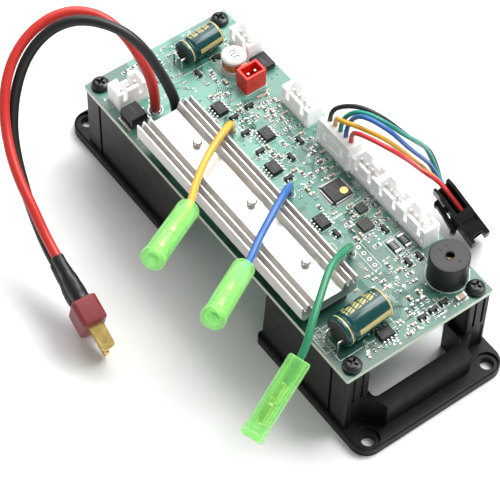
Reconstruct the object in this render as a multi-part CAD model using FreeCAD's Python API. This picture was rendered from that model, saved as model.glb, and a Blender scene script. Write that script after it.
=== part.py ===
import FreeCAD, Part
import os
from math import pi, sin, cos, tan, radians, degrees, sqrt
from FreeCAD import Vector as V

# Motor controller on a moulded bracket.  Millimetres, +Z up.
# Origin: centre of the bracket's underside.  +X runs along the board's long side,
# +Y across it towards the edge that carries the signal connectors.
os.makedirs("parts", exist_ok=True)

# ------------------------------------------------------------------ driving dimensions
BOARD_L, BOARD_W, BOARD_T = 130.0, 52.4, 1.6
BRACKET_H = 28.0                       # underside of bracket to underside of board
P = BRACKET_H + BOARD_T                # top face of the board
FLANGE_X, FLANGE_Y, FLANGE_T, FLANGE_R = 75.2, 26.9, 3.5, 5.4
WALL_Y, WALL_T = 25.7, 2.0             # outer face of the long walls and their thickness
POST_X, POST_Y = 64.9, 25.8            # outer faces of the corner posts
POST_IN_X, POST_IN_Y = 57.4, 17.6
RAIL_X0, RAIL_X1, RAIL_Z = 66.0, 71.0, 13.0
HOLE_X, HOLE_Y, HOLE_R = 71.3, 22.0, 2.1
BSCREW_X, BSCREW_Y = 61.9, 22.2        # board screws
HS_X0, HS_X1 = -35.5, 44.3             # heatsink length
HS_Z0, HS_Z1, HS_ZC = P + 4.6, P + 11.2, P + 8.6
HS_YN, HS_YF = -26.8, -7.3             # near and far faces of the heatsink
HSCREWS = (-21.1, 5.6, 31.3)
HSCREW_Y = -15.4
LEAD_D = 3.2                           # battery leads
PHASE_D = 2.3                          # phase leads
WIRE_D = 1.5                           # harness wires
SLEEVE_L, SLEEVE_R = 25.6, 3.45        # phase sleeves
SLEEVE_TRAVEL = 3.5
SLEEVE_BORE = 2.35

NODES = {}


def box(x0, y0, z0, x1, y1, z1):
    return Part.makeBox(x1 - x0, y1 - y0, z1 - z0, V(x0, y0, z0))


def cyl(r, h, p, d=(0, 0, 1)):
    return Part.makeCylinder(r, h, V(*p), V(*d))


def cone(r1, r2, h, p, d=(0, 0, 1)):
    return Part.makeCone(r1, r2, h, V(*p), V(*d))


def fuse(*s):
    o = s[0]
    if len(s) > 1:
        o = o.multiFuse(list(s[1:]))
        o = o.removeSplitter()
    return o


def prism(pts, d):
    """Closed polygon (3-D points) pushed along the vector d."""
    vs = [V(*p) for p in pts]
    w = Part.makePolygon(vs + [vs[0]])
    return Part.Face(w).extrude(V(*d))


def rrect(x0, y0, x1, y1, r, z0, h):
    """Rounded rectangle block standing on z0."""
    w = Part.Wire([
        Part.LineSegment(V(x0 + r, y0, z0), V(x1 - r, y0, z0)).toShape(),
        Part.Arc(V(x1 - r, y0, z0), V(x1 - r + r * sin(pi / 4), y0 + r - r * cos(pi / 4), z0), V(x1, y0 + r, z0)).toShape(),
        Part.LineSegment(V(x1, y0 + r, z0), V(x1, y1 - r, z0)).toShape(),
        Part.Arc(V(x1, y1 - r, z0), V(x1 - r + r * cos(pi / 4), y1 - r + r * sin(pi / 4), z0), V(x1 - r, y1, z0)).toShape(),
        Part.LineSegment(V(x1 - r, y1, z0), V(x0 + r, y1, z0)).toShape(),
        Part.Arc(V(x0 + r, y1, z0), V(x0 + r - r * sin(pi / 4), y1 - r + r * cos(pi / 4), z0), V(x0, y1 - r, z0)).toShape(),
        Part.LineSegment(V(x0, y1 - r, z0), V(x0, y0 + r, z0)).toShape(),
        Part.Arc(V(x0, y0 + r, z0), V(x0 + r - r * cos(pi / 4), y0 + r - r * sin(pi / 4), z0), V(x0 + r, y0, z0)).toShape()])
    return Part.Face(w).extrude(V(0, 0, h))


def revolve(pts, p, d=(0, 0, 1), full=360):
    """Profile of (radius, height) points turned about +Z, then stood at p along d."""
    vs = [V(r, 0, h) for r, h in pts]
    f = Part.Face(Part.makePolygon(vs + [vs[0]]))
    s = f.revolve(V(0, 0, 0), V(0, 0, 1), full)
    s.Placement = FreeCAD.Placement(V(*p), FreeCAD.Rotation(V(0, 0, 1), V(*d)))
    return s


def put(name, *solids):
    flat = []
    for s in solids:
        flat += list(s.Solids)
    NODES[name] = flat


def tube(points, d, name):
    """Round cord: straight runs joined by tangent arcs as large as the runs allow."""
    p = [V(*q) for q in points]
    edges, cur, radii = [], p[0], []
    for i in range(1, len(p) - 1):
        a, b = p[i - 1] - p[i], p[i + 1] - p[i]
        la, lb = a.Length, b.Length
        a.normalize()
        b.normalize()
        turn = pi - a.getAngle(b)
        t = 0.45 * min(la, lb)
        r = t / tan(turn / 2)
        radii.append(r)
        s, e = p[i] + a * t, p[i] + b * t
        m = a + b
        m.normalize()
        c = p[i] + m * (r / cos(turn / 2))
        mid = c - m * r
        if (s - cur).Length > 1e-4:
            edges.append(Part.LineSegment(cur, s).toShape())
        edges.append(Part.Arc(s, mid, e).toShape())
        cur = e
    edges.append(Part.LineSegment(cur, p[-1]).toShape())
    path = Part.Wire(edges)
    t0 = p[1] - p[0]
    prof = Part.Wire(Part.makeCircle(d / 2.0, p[0], t0))
    s = path.makePipeShell([prof], True, False)
    if s.Volume < 0:
        s.reverse()
    want = pi * d * d / 4 * path.Length
    print("%s: length %.1f, least radius %.1f (%.1f diameters), volume/expected %.4f, valid %s"
          % (name, path.Length, min(radii), min(radii) / d, s.Volume / want, s.isValid()))
    return s


# ------------------------------------------------------------------ bracket
flange = rrect(-FLANGE_X, -FLANGE_Y, FLANGE_X, FLANGE_Y, FLANGE_R, 0, FLANGE_T)
top_edges = [e for e in flange.Edges if all(abs(v.Z - FLANGE_T) < 1e-6 for v in e.Vertexes)]
flange = flange.makeFillet(0.7, top_edges)
body = [flange]
for sy in (-1, 1):
    y0, y1 = sorted((sy * WALL_Y, sy * (WALL_Y - WALL_T)))
    body.append(box(-POST_IN_X - 0.5, y0, 0, POST_IN_X + 0.5, y1, BRACKET_H))
for sx in (-1, 1):
    x0, x1 = sorted((sx * (POST_IN_X - 0.1), sx * RAIL_X1))
    body.append(box(x0, -WALL_Y + 1.2, 0, x1, WALL_Y - 1.2, RAIL_Z))          # end rail block
br = fuse(*body)
# the well inside the rails, open right down through the flange
br = br.cut(rrect(-RAIL_X0, -16.2, RAIL_X0, 16.2, 1.5, -1, 40))
br = br.cut(box(-POST_IN_X, -WALL_Y + WALL_T, -1, POST_IN_X, WALL_Y - WALL_T, 40))
# finger rooms around the four mounting holes
for sx in (-1, 1):
    for sy in (-1, 1):
        br = br.cut(cyl(6.6, 20, (sx * HOLE_X, sy * HOLE_Y, FLANGE_T)))
        br = br.cut(box(*sorted((sx * 65.2, sx * 66.4))[:1], *sorted((sy * 20.5, sy * 27.5))[:1], FLANGE_T,
                        sorted((sx * 65.2, sx * 66.4))[1], sorted((sy * 20.5, sy * 27.5))[1], 14))
posts = []
for sx in (-1, 1):
    for sy in (-1, 1):
        xa, xb = sorted((sx * POST_IN_X, sx * POST_X))
        ya, yb = sorted((sy * POST_IN_Y, sy * POST_Y))
        posts.append(rrect(xa, ya, xb, yb, 0.9, 0, BRACKET_H))
br = fuse(br, *posts)
# near wall: the open bay, its left end sloping
br = br.cut(prism([(-9.0, -30, 28.2), (-22.5, -30, -0.2), (25.3, -30, -0.2), (27.0, -30, 28.2)], (0, 9, 0)))
# rounded ends of the flange bar at the bay
br = fuse(br, cyl(1.6, FLANGE_T, (25.6, -25.3, 0)), box(25.5, -26.0, 0, 27.0, -24.2, FLANGE_T))
# far wall: the same bay above the flange and an open window beside the end post
br = br.cut(box(-9.0, 22.0, FLANGE_T + 0.5, 26.0, 30.0, 28.2))
br = br.cut(box(44.0, 22.0, FLANGE_T + 0.5, POST_IN_X - 0.1, 30.0, 28.2))
# shadow grooves beside the posts, ribs on the end faces
for x in (-57.9, 57.0):
    br = br.cut(box(x, -27.0, FLANGE_T, x + 0.9, -WALL_Y + 0.8, 27.0))
for sx in (-1, 1):
    for sy in (-1, 1):
        for y in (19.9, 22.9):
            xa, xb = sorted((sx * (POST_X - 0.6), sx * (POST_X + 1)))
            ya, yb = sorted((sy * y, sy * (y + 0.9)))
            br = br.cut(box(xa, ya, RAIL_Z + 2.5, xb, yb, 28.2))
        br = br.cut(cyl(HOLE_R, 10, (sx * HOLE_X, sy * HOLE_Y, -1)))
        br = br.cut(cyl(3.4, 4, (sx * HOLE_X, sy * HOLE_Y, FLANGE_T - 0.9)))
        br = br.cut(cyl(1.3, 14, (sx * BSCREW_X, sy * BSCREW_Y, BRACKET_H - 13)))
put("mounting_bracket", br)

# ------------------------------------------------------------------ circuit board
bd = rrect(-BOARD_L / 2, -BOARD_W / 2, BOARD_L / 2, BOARD_W / 2, 0.6, BRACKET_H, BOARD_T)
for sx in (-1, 1):
    for sy in (-1, 1):
        bd = bd.cut(cyl(1.7, 4, (sx * BSCREW_X, sy * BSCREW_Y, BRACKET_H - 1)))
for x in HSCREWS:
    bd = bd.cut(cyl(1.65, 4, (x, HSCREW_Y, BRACKET_H - 1)))
SPARE_X, SPARE_Y = (30.9, 33.45, 36.0, 38.55), 4.2
for x in SPARE_X:
    bd = bd.cut(cyl(0.5, 4, (x, SPARE_Y, BRACKET_H - 1)))
put("circuit_board", bd)


# ------------------------------------------------------------------ screws
def pan_screw(x, y, z, rh, hh, rs, ls, cross):
    """Pan head with a cross recess, seated at z, shank downwards."""
    prof = [(0, 0), (rh, 0), (rh, hh * 0.45), (rh * 0.86, hh * 0.78), (rh * 0.55, hh * 0.97), (0, hh)]
    s = revolve(prof, (x, y, z))
    w, l, d = cross
    for a in (0, 90):
        b = box(-l / 2, -w / 2, hh - d, l / 2, w / 2, hh + 1)
        b.rotate(V(0, 0, 0), V(0, 0, 1), a + 27)
        b.translate(V(x, y, z))
        s = s.cut(b)
    return fuse(s, cyl(rs, ls, (x, y, z - ls)))


put("board_screws", *[pan_screw(sx * BSCREW_X, sy * BSCREW_Y, P, 2.85, 2.2, 1.2, 12.0, (0.75, 3.2, 1.2))
                      for sx in (-1, 1) for sy in (-1, 1)])


def stud_screw(x, y, z, rh, hh, rs, ls):
    """Small round-topped head seated at z, shank downwards."""
    prof = [(0, 0), (rh * 0.97, 0), (rh, 0.15), (rh, hh * 0.62), (rh * 0.94, hh * 0.8), (rh * 0.74, hh * 0.94), (rh * 0.4, hh), (0, hh)]
    return fuse(revolve(prof, (x, y, z)), cyl(rs, ls, (x, y, z - ls)))


put("heatsink_screws", *[stud_screw(x, HSCREW_Y, HS_ZC, 1.5, 1.9, 1.25, HS_ZC - 25.3) for x in HSCREWS])


def hex_nut(x, y, z, af, h, r):
    k = af / 2 / cos(pi / 6)
    s = prism([(x + k * cos(radians(a)), y + k * sin(radians(a)), z) for a in range(0, 360, 60)], (0, 0, h))
    return s.cut(cyl(r, h + 2, (x, y, z - 1)))


put("heatsink_nuts", *[hex_nut(x, HSCREW_Y, BRACKET_H - 2.4, 5.5, 2.4, 1.3) for x in HSCREWS])

# ------------------------------------------------------------------ heatsink and power stage
z0, z1, zc = HS_Z0, HS_Z1, HS_ZC
yn, yf = HS_YN, HS_YF
zg = P + 8.7                            # bottom of the grooves between the fins
FIN = 0.22                              # half the width of a fin's crest
near, far = (yn + FIN, yn + 2.35, yn + 4.65), (yf - 4.25, yf - 2.15, yf - FIN)


def groove(a, c):
    """V groove between two crests."""
    m = (a + c) / 2
    return [(a + FIN, z1), (m - 0.15, zg), (m + 0.15, zg), (c - FIN, z1)]


prof = ([(yn + 1.0, z0), (yn, z0 + 1.4), (yn, z1)] + groove(near[0], near[1]) + groove(near[1], near[2])
        + [(near[2] + FIN, z1), (near[2] + 0.95, zc + 0.25), (near[2] + 1.25, zc), (far[0] - 1.25, zc), (far[0] - 0.95, zc + 0.25), (far[0] - FIN, z1)]
        + groove(far[0], far[1]) + groove(far[1], far[2]) + [(yf, z1), (yf, z0 + 1.0), (yf - 0.7, z0)])
hs = prism([(HS_X0, y, z) for y, z in prof], (HS_X1 - HS_X0, 0, 0))
for x in HSCREWS:
    hs = hs.cut(cyl(1.35, 10, (x, HSCREW_Y, z0 - 1)))
put("heatsink", hs)
pad = box(HS_X0 + 0.8, -25.2, P + 4.3, HS_X1 - 0.5, -8.4, P + 4.6)
for x in HSCREWS:
    pad = pad.cut(cyl(1.8, 2, (x, HSCREW_Y, P + 4)))
put("thermal_pad", pad)
fet_b, fet_t = [], []
for x in HSCREWS:
    for s in (-1, 1):
        cx = x + s * 6.7
        fet_b.append(box(cx - 4.8, -18.3, P, cx + 4.8, -9.4, P + 4.3))
        tab = box(cx - 4.8, -24.6, P + 3.0, cx + 4.8, -18.3, P + 4.3)
        fet_t.append(tab.cut(cyl(1.8, 3, (cx, -21.6, P + 2.5))))
        for k in (-2.54, 0, 2.54):
            fet_t.append(fuse(box(cx + k - 0.4, -9.4, P + 1.6, cx + k + 0.4, -8.2, P + 2.2),
                              box(cx + k - 0.4, -8.6, P, cx + k + 0.4, -8.2, P + 2.2)))
put("mosfet_bodies", *fet_b)
put("mosfet_tabs_and_leads", *fet_t)


# ------------------------------------------------------------------ surface-mount packages
def turned(s, x, y, a):
    s.rotate(V(0, 0, 0), V(0, 0, 1), a)
    s.translate(V(x, y, 0))
    return s


def chip_body(w, l, h, lift=0.1, ch=0.22):
    """Moulded package, w across the leads (Y), l along them (X), with drafted sides."""
    m = P + lift + (h - lift) * 0.5
    a = [V(-l / 2 + ch, -w / 2 + ch, P + lift), V(l / 2 - ch, -w / 2 + ch, P + lift), V(l / 2 - ch, w / 2 - ch, P + lift), V(-l / 2 + ch, w / 2 - ch, P + lift)]
    b = [V(-l / 2, -w / 2, m), V(l / 2, -w / 2, m), V(l / 2, w / 2, m), V(-l / 2, w / 2, m)]
    c = [V(-l / 2 + ch, -w / 2 + ch, P + h), V(l / 2 - ch, -w / 2 + ch, P + h), V(l / 2 - ch, w / 2 - ch, P + h), V(-l / 2 + ch, w / 2 - ch, P + h)]
    lo = Part.makeLoft([Part.makePolygon(a + [a[0]]), Part.makePolygon(b + [b[0]])], True, True)
    hi = Part.makeLoft([Part.makePolygon(b + [b[0]]), Part.makePolygon(c + [c[0]])], True, True)
    return fuse(lo, hi)


def gull(x, y0, sy, wl, reach, h):
    """Gull-wing lead leaving the body at y0 towards sy, mid height h, standing on the board."""
    t = 0.18
    pts = [(x - wl / 2, y0, P + h), (x - wl / 2, y0 + sy * reach * 0.38, P + h), (x - wl / 2, y0 + sy * reach * 0.52, P),
           (x - wl / 2, y0 + sy * reach, P), (x - wl / 2, y0 + sy * reach, P + t), (x - wl / 2, y0 + sy * (reach * 0.52 + 0.12), P + t),
           (x - wl / 2, y0 + sy * (reach * 0.38 + 0.12), P + h + t), (x - wl / 2, y0, P + h + t)]
    return prism(pts, (wl, 0, 0))


# eight-lead packages: x, y, angle
SOIC = [(-33.2, 1.4, 0), (-17.2, 7.1, 0), (-5.9, 1.2, 0), (17.9, 0.8, 0), (59.0, -8.3, 90)]
sb, sl = [], []
for x, y, a in SOIC:
    sb.append(turned(chip_body(3.8, 4.9, 1.6), x, y, a))
    for i in range(4):
        for sy in (-1, 1):
            sl.append(turned(gull(-1.905 + 1.27 * i, sy * 1.9, sy, 0.42, 1.05, 0.7), x, y, a))
put("gate_driver_bodies", *sb)
put("gate_driver_leads", *sl)

# microcontroller, 48 leads
MCU_X, MCU_Y = 11.6, 11.1
put("microcontroller_body", turned(chip_body(7.0, 7.0, 1.5), MCU_X, MCU_Y, 0))
ml = []
for a in (0, 90, 180, 270):
    for i in range(12):
        ml.append(turned(gull(-2.75 + 0.5 * i, -3.5, -1, 0.24, 0.9, 0.65), MCU_X, MCU_Y, a))
put("microcontroller_leads", *ml)

# leadless gyro and supply chips
put("leadless_chips", turned(chip_body(3.9, 3.9, 1.0, 0.0, 0.02), 26.0, 10.6, 0), turned(chip_body(3.0, 3.0, 1.0, 0.0, 0.02), 20.6, 13.2, 0))

# small three-lead transistors: x, y, angle
SOT = [(-28.4, 3.4, 90), (-21.6, 2.6, 90), (-13.4, 2.0, 90), (-6.4, 8.1, 0), (-0.6, 2.9, 90), (23.5, 1.9, 0),
       (60.2, 12.0, 90), (60.4, 8.0, 90), (60.6, 3.9, 90), (43.4, 12.4, 0), (43.6, 16.4, 0), (-50.4, 12.8, 90), (-48.4, 4.4, 0),
       (-29.2, 9.6, 90), (30.4, 14.2, 0), (-10.0, 13.9, 0)]
tb, tl = [], []
for x, y, a in SOT:
    tb.append(turned(chip_body(1.4, 2.9, 1.05, 0.05, 0.12), x, y, a))
    for i, sy in ((-0.95, -1), (0.95, -1), (0.0, 1)):
        tl.append(turned(gull(i, sy * 0.7, sy, 0.42, 0.6, 0.45), x, y, a))
put("transistor_bodies", *tb)
put("transistor_leads", *tl)

# power transistor beside the battery leads, and the rectifier behind the red header
put("power_transistor_bodies", turned(chip_body(5.8, 6.4, 4.4, 0.2, 0.3), -45.2, -21.4, 0), turned(chip_body(5.6, 6.2, 2.4, 0.1, 0.2), -39.9, 22.3, 0))
ptl = [turned(box(-2.9, -4.0, P, 2.9, -2.9, P + 0.8), -45.2, -21.4, 0), turned(box(-2.6, 2.8, P, 2.6, 3.5, P + 0.6), -39.9, 22.3, 0)]
for k in (-2.2, 2.2):
    ptl.append(turned(gull(k, 2.9, 1, 0.8, 2.0, 1.2), -45.2, -21.4, 0))
for k in (-1.6, 0.6):
    ptl.append(turned(gull(k, -2.8, -1, 0.6, 0.75, 0.8), -39.9, 22.3, 0))
put("power_transistor_leads", *ptl)

# current-sense resistors
SHUNTS = [(36.8, 12.6), (36.8, 16.4)]
put("sense_resistors", *[box(x - 2.4, y - 1.15, P + 0.05, x + 2.4, y + 1.15, P + 0.75) for x, y in SHUNTS])

# chip resistors (dark) and chip capacitors (tan): x, y, along ('x' or 'y'), length
CHIP_R = [(-62.0, -13.0, 'y', 1.6), (-62.0, -10.4, 'y', 1.6), (-62.2, -7.8, 'y', 1.6), (-62.2, -5.4, 'y', 1.6),
          (-59.0, -2.4, 'x', 2.0), (-59.2, 0.6, 'x', 2.0), (-55.6, -1.0, 'y', 1.6), (-53.2, -1.4, 'y', 1.6), (-50.8, -0.4, 'y', 1.6),
          (-46.4, 8.2, 'x', 1.6), (-43.0, 7.4, 'x', 1.6), (-38.4, 2.4, 'x', 1.6), (-37.2, 6.4, 'y', 1.6),
          (-25.2, 5.8, 'x', 1.6), (-24.8, 8.0, 'x', 1.6), (-25.4, 12.6, 'x', 1.6), (-21.8, 12.8, 'y', 1.6), (-10.6, 4.6, 'x', 1.6),
          (-12.0, 9.4, 'x', 1.6), (0.4, 7.2, 'x', 1.6), (2.4, 9.0, 'x', 1.6), (2.2, 12.2, 'y', 1.6), (4.4, 6.6, 'y', 1.6),
          (16.6, 4.6, 'y', 1.6), (18.6, 4.7, 'y', 1.6), (13.2, 3.8, 'x', 1.6), (22.6, 7.0, 'y', 1.6), (24.6, 6.4, 'x', 1.6),
          (29.6, 8.6, 'y', 1.6), (31.6, 8.8, 'y', 1.6), (33.6, 9.0, 'y', 1.6), (40.6, 11.2, 'y', 1.6), (41.0, 7.2, 'x', 1.6),
          (46.8, 10.4, 'y', 1.6), (45.2, 2.0, 'x', 1.6), (45.4, -1.0, 'x', 1.6), (56.2, 8.6, 'x', 1.6), (56.2, 6.4, 'x', 1.6),
          (56.4, 4.2, 'x', 1.6), (56.6, 2.0, 'x', 1.6), (62.6, 0.0, 'y', 1.6), (48.0, 22.6, 'x', 2.0)]
CHIP_C = [(-61.0, 3.6, 'y', 1.6), (-40.9, 9.2, 'x', 2.0), (-38.9, 5.2, 'x', 1.6), (-29.8, 6.2, 'y', 1.6), (-13.4, 4.8, 'x', 1.6), (-8.6, 5.6, 'x', 1.6),
          (-1.8, 6.0, 'y', 1.6), (6.0, 4.8, 'x', 1.6), (16.9, 8.2, 'y', 1.6), (17.8, 11.4, 'y', 1.6), (17.4, 14.8, 'x', 1.6), (6.0, 13.6, 'y', 1.6),
          (21.8, 10.0, 'y', 1.6), (28.6, 5.6, 'x', 1.6), (41.6, 9.2, 'x', 1.6), (45.8, 13.6, 'y', 1.6), (44.0, 8.6, 'y', 1.6),
          (53.4, 8.4, 'x', 1.6), (53.6, 5.0, 'x', 1.6), (62.8, -2.6, 'y', 1.6), (61.9, 16.7, 'y', 3.2), (-30.2, 14.0, 'y', 1.6)]
# the two rows of filter parts along the connectors
for i in range(26):
    x = -30.0 + 3.05 * i
    (CHIP_R if i % 3 else CHIP_C).append((x, 16.3 + (0.35 if i % 2 else -0.2), 'y', 1.6))
for i in range(17):
    x = -27.6 + 3.9 * i
    if not (7.0 < x < 17.5):
        (CHIP_C if i % 3 == 1 else CHIP_R).append((x, 13.9 if i % 2 else 14.3, 'x' if i % 4 == 1 else 'y', 1.6))


KEEP = [(-53.4, -43.4, 19.5, 26), (-25.8, -12.6, 18.7, 26), (-7.5, 7.6, 18.3, 26), (7.6, 42.0, 19.1, 26), (-38.8, -33.0, 11.2, 19.0),
        (-48.7, -40.5, 10.8, 19.0), (-44.0, -36.6, 17.6, 26), (47.6, 58.4, -24.5, -3.4), (-60.6, -51.4, -0.6, 17.4), (-36, 45, -27, -6.2),
        (-46.6, -42.8, -15.9, -12.1), (-40.3, -36.5, -12.6, -8.8), (-21.7, -18.7, -6.6, -3.4), (7.6, 10.7, -6.6, -3.4), (34.0, 37.2, -6.6, -3.4),
        (-57.0, -50.0, -23.4, -12.4), (30.0, 39.5, 3.4, 5.0), (58.5, 65, 18.9, 26), (-65, -58.5, 18.9, 26)]


def clear(x, y, l):
    for a, b, r in [(q[0], q[1], 2.3) for q in SOT] + [(q[0], q[1], 3.6) for q in SOIC] + [(q[0], q[1], 3.3) for q in SHUNTS] \
            + [(26.0, 10.6, 3.2), (20.6, 13.2, 2.7), (53.2, 18.9, 7.2)]:
        if (x - a) ** 2 + (y - b) ** 2 < (r + l * 0.3) ** 2:
            return False
    for x0, x1, y0, y1 in KEEP:
        if x0 - 1.0 < x < x1 + 1.0 and y0 - 1.0 < y < y1 + 1.0:
            return False
    return not (abs(x - MCU_X) < 5.6 and abs(y - MCU_Y) < 5.6)


def chips(rows, h):
    kept, out = [], []
    for x, y, d, l in rows:
        if clear(x, y, l) and all((x - a) ** 2 + (y - b) ** 2 > 2.1 ** 2 for a, b in TAKEN):
            TAKEN.append((x, y))
            w = l * 0.5
            a, b = (l / 2, w / 2) if d == 'x' else (w / 2, l / 2)
            out.append(box(x - a, y - b, P + 0.03, x + a, y + b, P + h * l / 1.6))
    return out


TAKEN = []
put("chip_resistors", *chips(CHIP_R, 0.5))
put("chip_capacitors", *chips(CHIP_C, 0.8))


# ------------------------------------------------------------------ through-hole parts
def can(x, y0, z, r, l, a):
    """Radial electrolytic lying down, body from y0 towards +Y, with the crimp groove near its foot."""
    pts = [(0, 0.6), (r - 1.2, 0.6), (r - 1.2, 0), (r - 0.35, 0), (r, 0.4), (r, 1.9), (r - 0.4, 2.4), (r - 0.4, 2.9), (r, 3.4),
           (r, l - 0.5), (r - 0.5, l), (r - 1.3, l), (r - 1.3, l - 0.3), (0, l - 0.3)]
    s = revolve(pts, (x, y0, z), (0, 1, 0))
    s.rotate(V(x, y0 + l / 2, z), V(0, 0, 1), a)
    return s


def can_legs(x, y0, z, r, l, a, sp):
    out = []
    for k in (-sp / 2, sp / 2):
        pth = [(x + k, y0 + 0.6, z), (x + k, y0 - 1.9, z), (x + k, y0 - 2.3, P)]
        out.append(fuse(cyl(0.33, 2.6, (x + k, y0 - 2.0, z), (0, 1, 0)), cyl(0.33, z - P, (x + k, y0 - 2.0, P)), Part.makeSphere(0.33, V(x + k, y0 - 2.0, z))))
    g = [s.copy() for s in out]
    for s in g:
        s.rotate(V(x, y0 + l / 2, z), V(0, 0, 1), a)
    return g


CAP1 = (52.75, -20.9, P + 5.05, 4.9, 16.6, 4)
CAP2 = (-55.4, 3.2, P + 4.15, 4.0, 13.4, 5)
put("capacitor_cans", can(*CAP1), can(*CAP2))
bungs = []
for x, y0, z, r, l, a in (CAP1, CAP2):
    b = cyl(r - 1.2, 0.6, (x, y0, z), (0, 1, 0)).cut(cyl(0.33, 3, (x - (2.5 if r > 4.5 else 1.75), y0 - 1, z), (0, 1, 0))).cut(cyl(0.33, 3, (x + (2.5 if r > 4.5 else 1.75), y0 - 1, z), (0, 1, 0)))
    b.rotate(V(x, y0 + l / 2, z), V(0, 0, 1), a)
    bungs.append(b)
put("capacitor_bungs", *bungs)
put("capacitor_legs", *(can_legs(*CAP1, 5.0) + can_legs(*CAP2, 3.5)))

IND = (-44.6, 14.9)
core = revolve([(0, 0), (3.9, 0), (3.9, 1.1), (2.2, 1.1), (2.2, 4.6), (3.9, 4.6), (3.9, 5.5), (3.5, 5.9), (0, 5.9)], (IND[0], IND[1], P))
put("inductor_core", core)
put("inductor_winding", revolve([(2.2, 1.1), (3.5, 1.1), (3.6, 2.8), (3.5, 4.6), (2.2, 4.6)], (IND[0], IND[1], P)))

BUZ = (53.2, 18.9)
bz = revolve([(5.2, 0.3), (6.0, 0), (6.0, 9.2), (5.7, 9.5), (1.3, 9.5), (1.3, 8.5), (5.2, 8.5)], (BUZ[0], BUZ[1], P))
put("buzzer_housing", bz)
put("buzzer_element", cyl(5.2, 0.9, (BUZ[0], BUZ[1], P + 0.3)), cyl(1.0, 5.0, (BUZ[0], BUZ[1], P + 1.2)),
    cyl(3.6, 2.6, (BUZ[0], BUZ[1], P + 1.2)).cut(cyl(1.0, 9, (BUZ[0], BUZ[1], P))), cyl(5.2, 0.3, (BUZ[0], BUZ[1], P + 7.3)))


# ------------------------------------------------------------------ connectors
def header(cx, cy, wx, wy, h, pins, wall=0.9, latch=True, slots=True):
    """Open-topped shrouded header, long side along X, outer face towards +Y."""
    s = box(cx - wx / 2, cy - wy / 2, P, cx + wx / 2, cy + wy / 2, P + h)
    s = s.cut(box(cx - wx / 2 + wall, cy - wy / 2 + wall, P + 1.2, cx + wx / 2 - wall, cy + wy / 2 - wall, P + h + 1))
    if slots:
        for k in (-1, 1):
            xs = cx + k * wx * 0.27
            s = s.cut(box(xs - 0.75, cy - wy / 2 - 1, P + 3.2, xs + 0.75, cy - wy / 2 + wall + 0.05, P + h + 1))
    if latch:
        s = s.cut(box(cx - wx * 0.18, cy + wy / 2 - wall - 0.05, P + 4.4, cx + wx * 0.18, cy + wy / 2 + 1, P + h + 1))
    ps = []
    for i in range(pins):
        x = cx + (i - (pins - 1) / 2.0) * 2.5
        ps.append(box(x - 0.32, cy - 0.32 - 0.15, P + 1.2, x + 0.32, cy + 0.32 - 0.15, P + h - 1.0))
    return s, ps


H = {}
pins = []
for name, cx, cy, wx, n in (("a", -48.4, 22.4, 9.9, 3), ("b", -19.2, 21.6, 13.0, 4), ("c", 0.05, 21.2, 14.9, 5),
                            ("d", 13.3, 22.0, 11.3, 4), ("e", 24.75, 22.0, 11.3, 4), ("f", 36.2, 22.0, 11.3, 4)):
    H[name], p = header(cx, cy, wx, 5.7, 7.0, n)
    pins += p
put("signal_headers", *[H[k] for k in "abcdef"])
rh, rp = header(0, 0, 7.3, 5.3, 7.0, 2, 0.75, False, False)
put("charge_header", turned(rh, -35.9, 15.1, 90))
pins += [turned(q, -35.9, 15.1, 90) for q in rp]
lh, lp = header(0, 0, 10.4, 6.2, 7.0, 3, 1.15, True, True)
put("power_switch_header", turned(lh, -53.5, -17.9, 90))
pins += [turned(q, -53.5, -17.9, 90) for q in lp]
put("header_pins", *pins)

# plug in the five-way header
C_X, C_Y = 0.05, 21.2
WIRE_X = (-5.0, -2.5, 0.0, 2.5, 5.0)
PLUG_TOP = P + 10.0
plug = fuse(box(C_X - 6.4, C_Y - 1.8, P + 1.4, C_X + 6.4, C_Y + 1.8, P + 7.1),
            box(C_X - 7.2, C_Y - 2.7, P + 7.0, C_X + 7.2, C_Y + 2.4, PLUG_TOP))
for x in WIRE_X:
    plug = plug.cut(box(C_X + x - 0.45, C_Y - 0.75, P + 1.0, C_X + x + 0.45, C_Y + 0.45, P + 6.2))
    plug = plug.cut(box(C_X + x - 0.8, C_Y + 1.5, P + 7.6, C_X + x + 0.8, C_Y + 2.5, P + 9.3))
put("harness_plug", plug)

# ------------------------------------------------------------------ free harness connector
# local frame: x from the wire end to the mating end, y across, z along the row of contacts
HC_O = V(21.95, 45.14, 14.2)
HC_A, HC_H = V(0.927, 0.056, -0.363), V(0.358, -0.363, 0.861)


def frame_of(o, a, h):
    a = V(a)
    a.normalize()
    w = h.cross(a)
    w.normalize()
    h2 = a.cross(w)
    m = FreeCAD.Matrix(a.x, w.x, h2.x, o.x, a.y, w.y, h2.y, o.y, a.z, w.z, h2.z, o.z, 0, 0, 0, 1)
    return m, a, w, h2


HC_M, HC_a, HC_w, HC_h = frame_of(HC_O, HC_A, HC_H)


def placed(s, m):
    s = s.copy()
    s.Placement = FreeCAD.Placement(m).multiply(s.Placement)
    return s


def loc(m, x, y, z):
    v = m.multVec(V(x, y, z))
    return (v.x, v.y, v.z)


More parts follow.
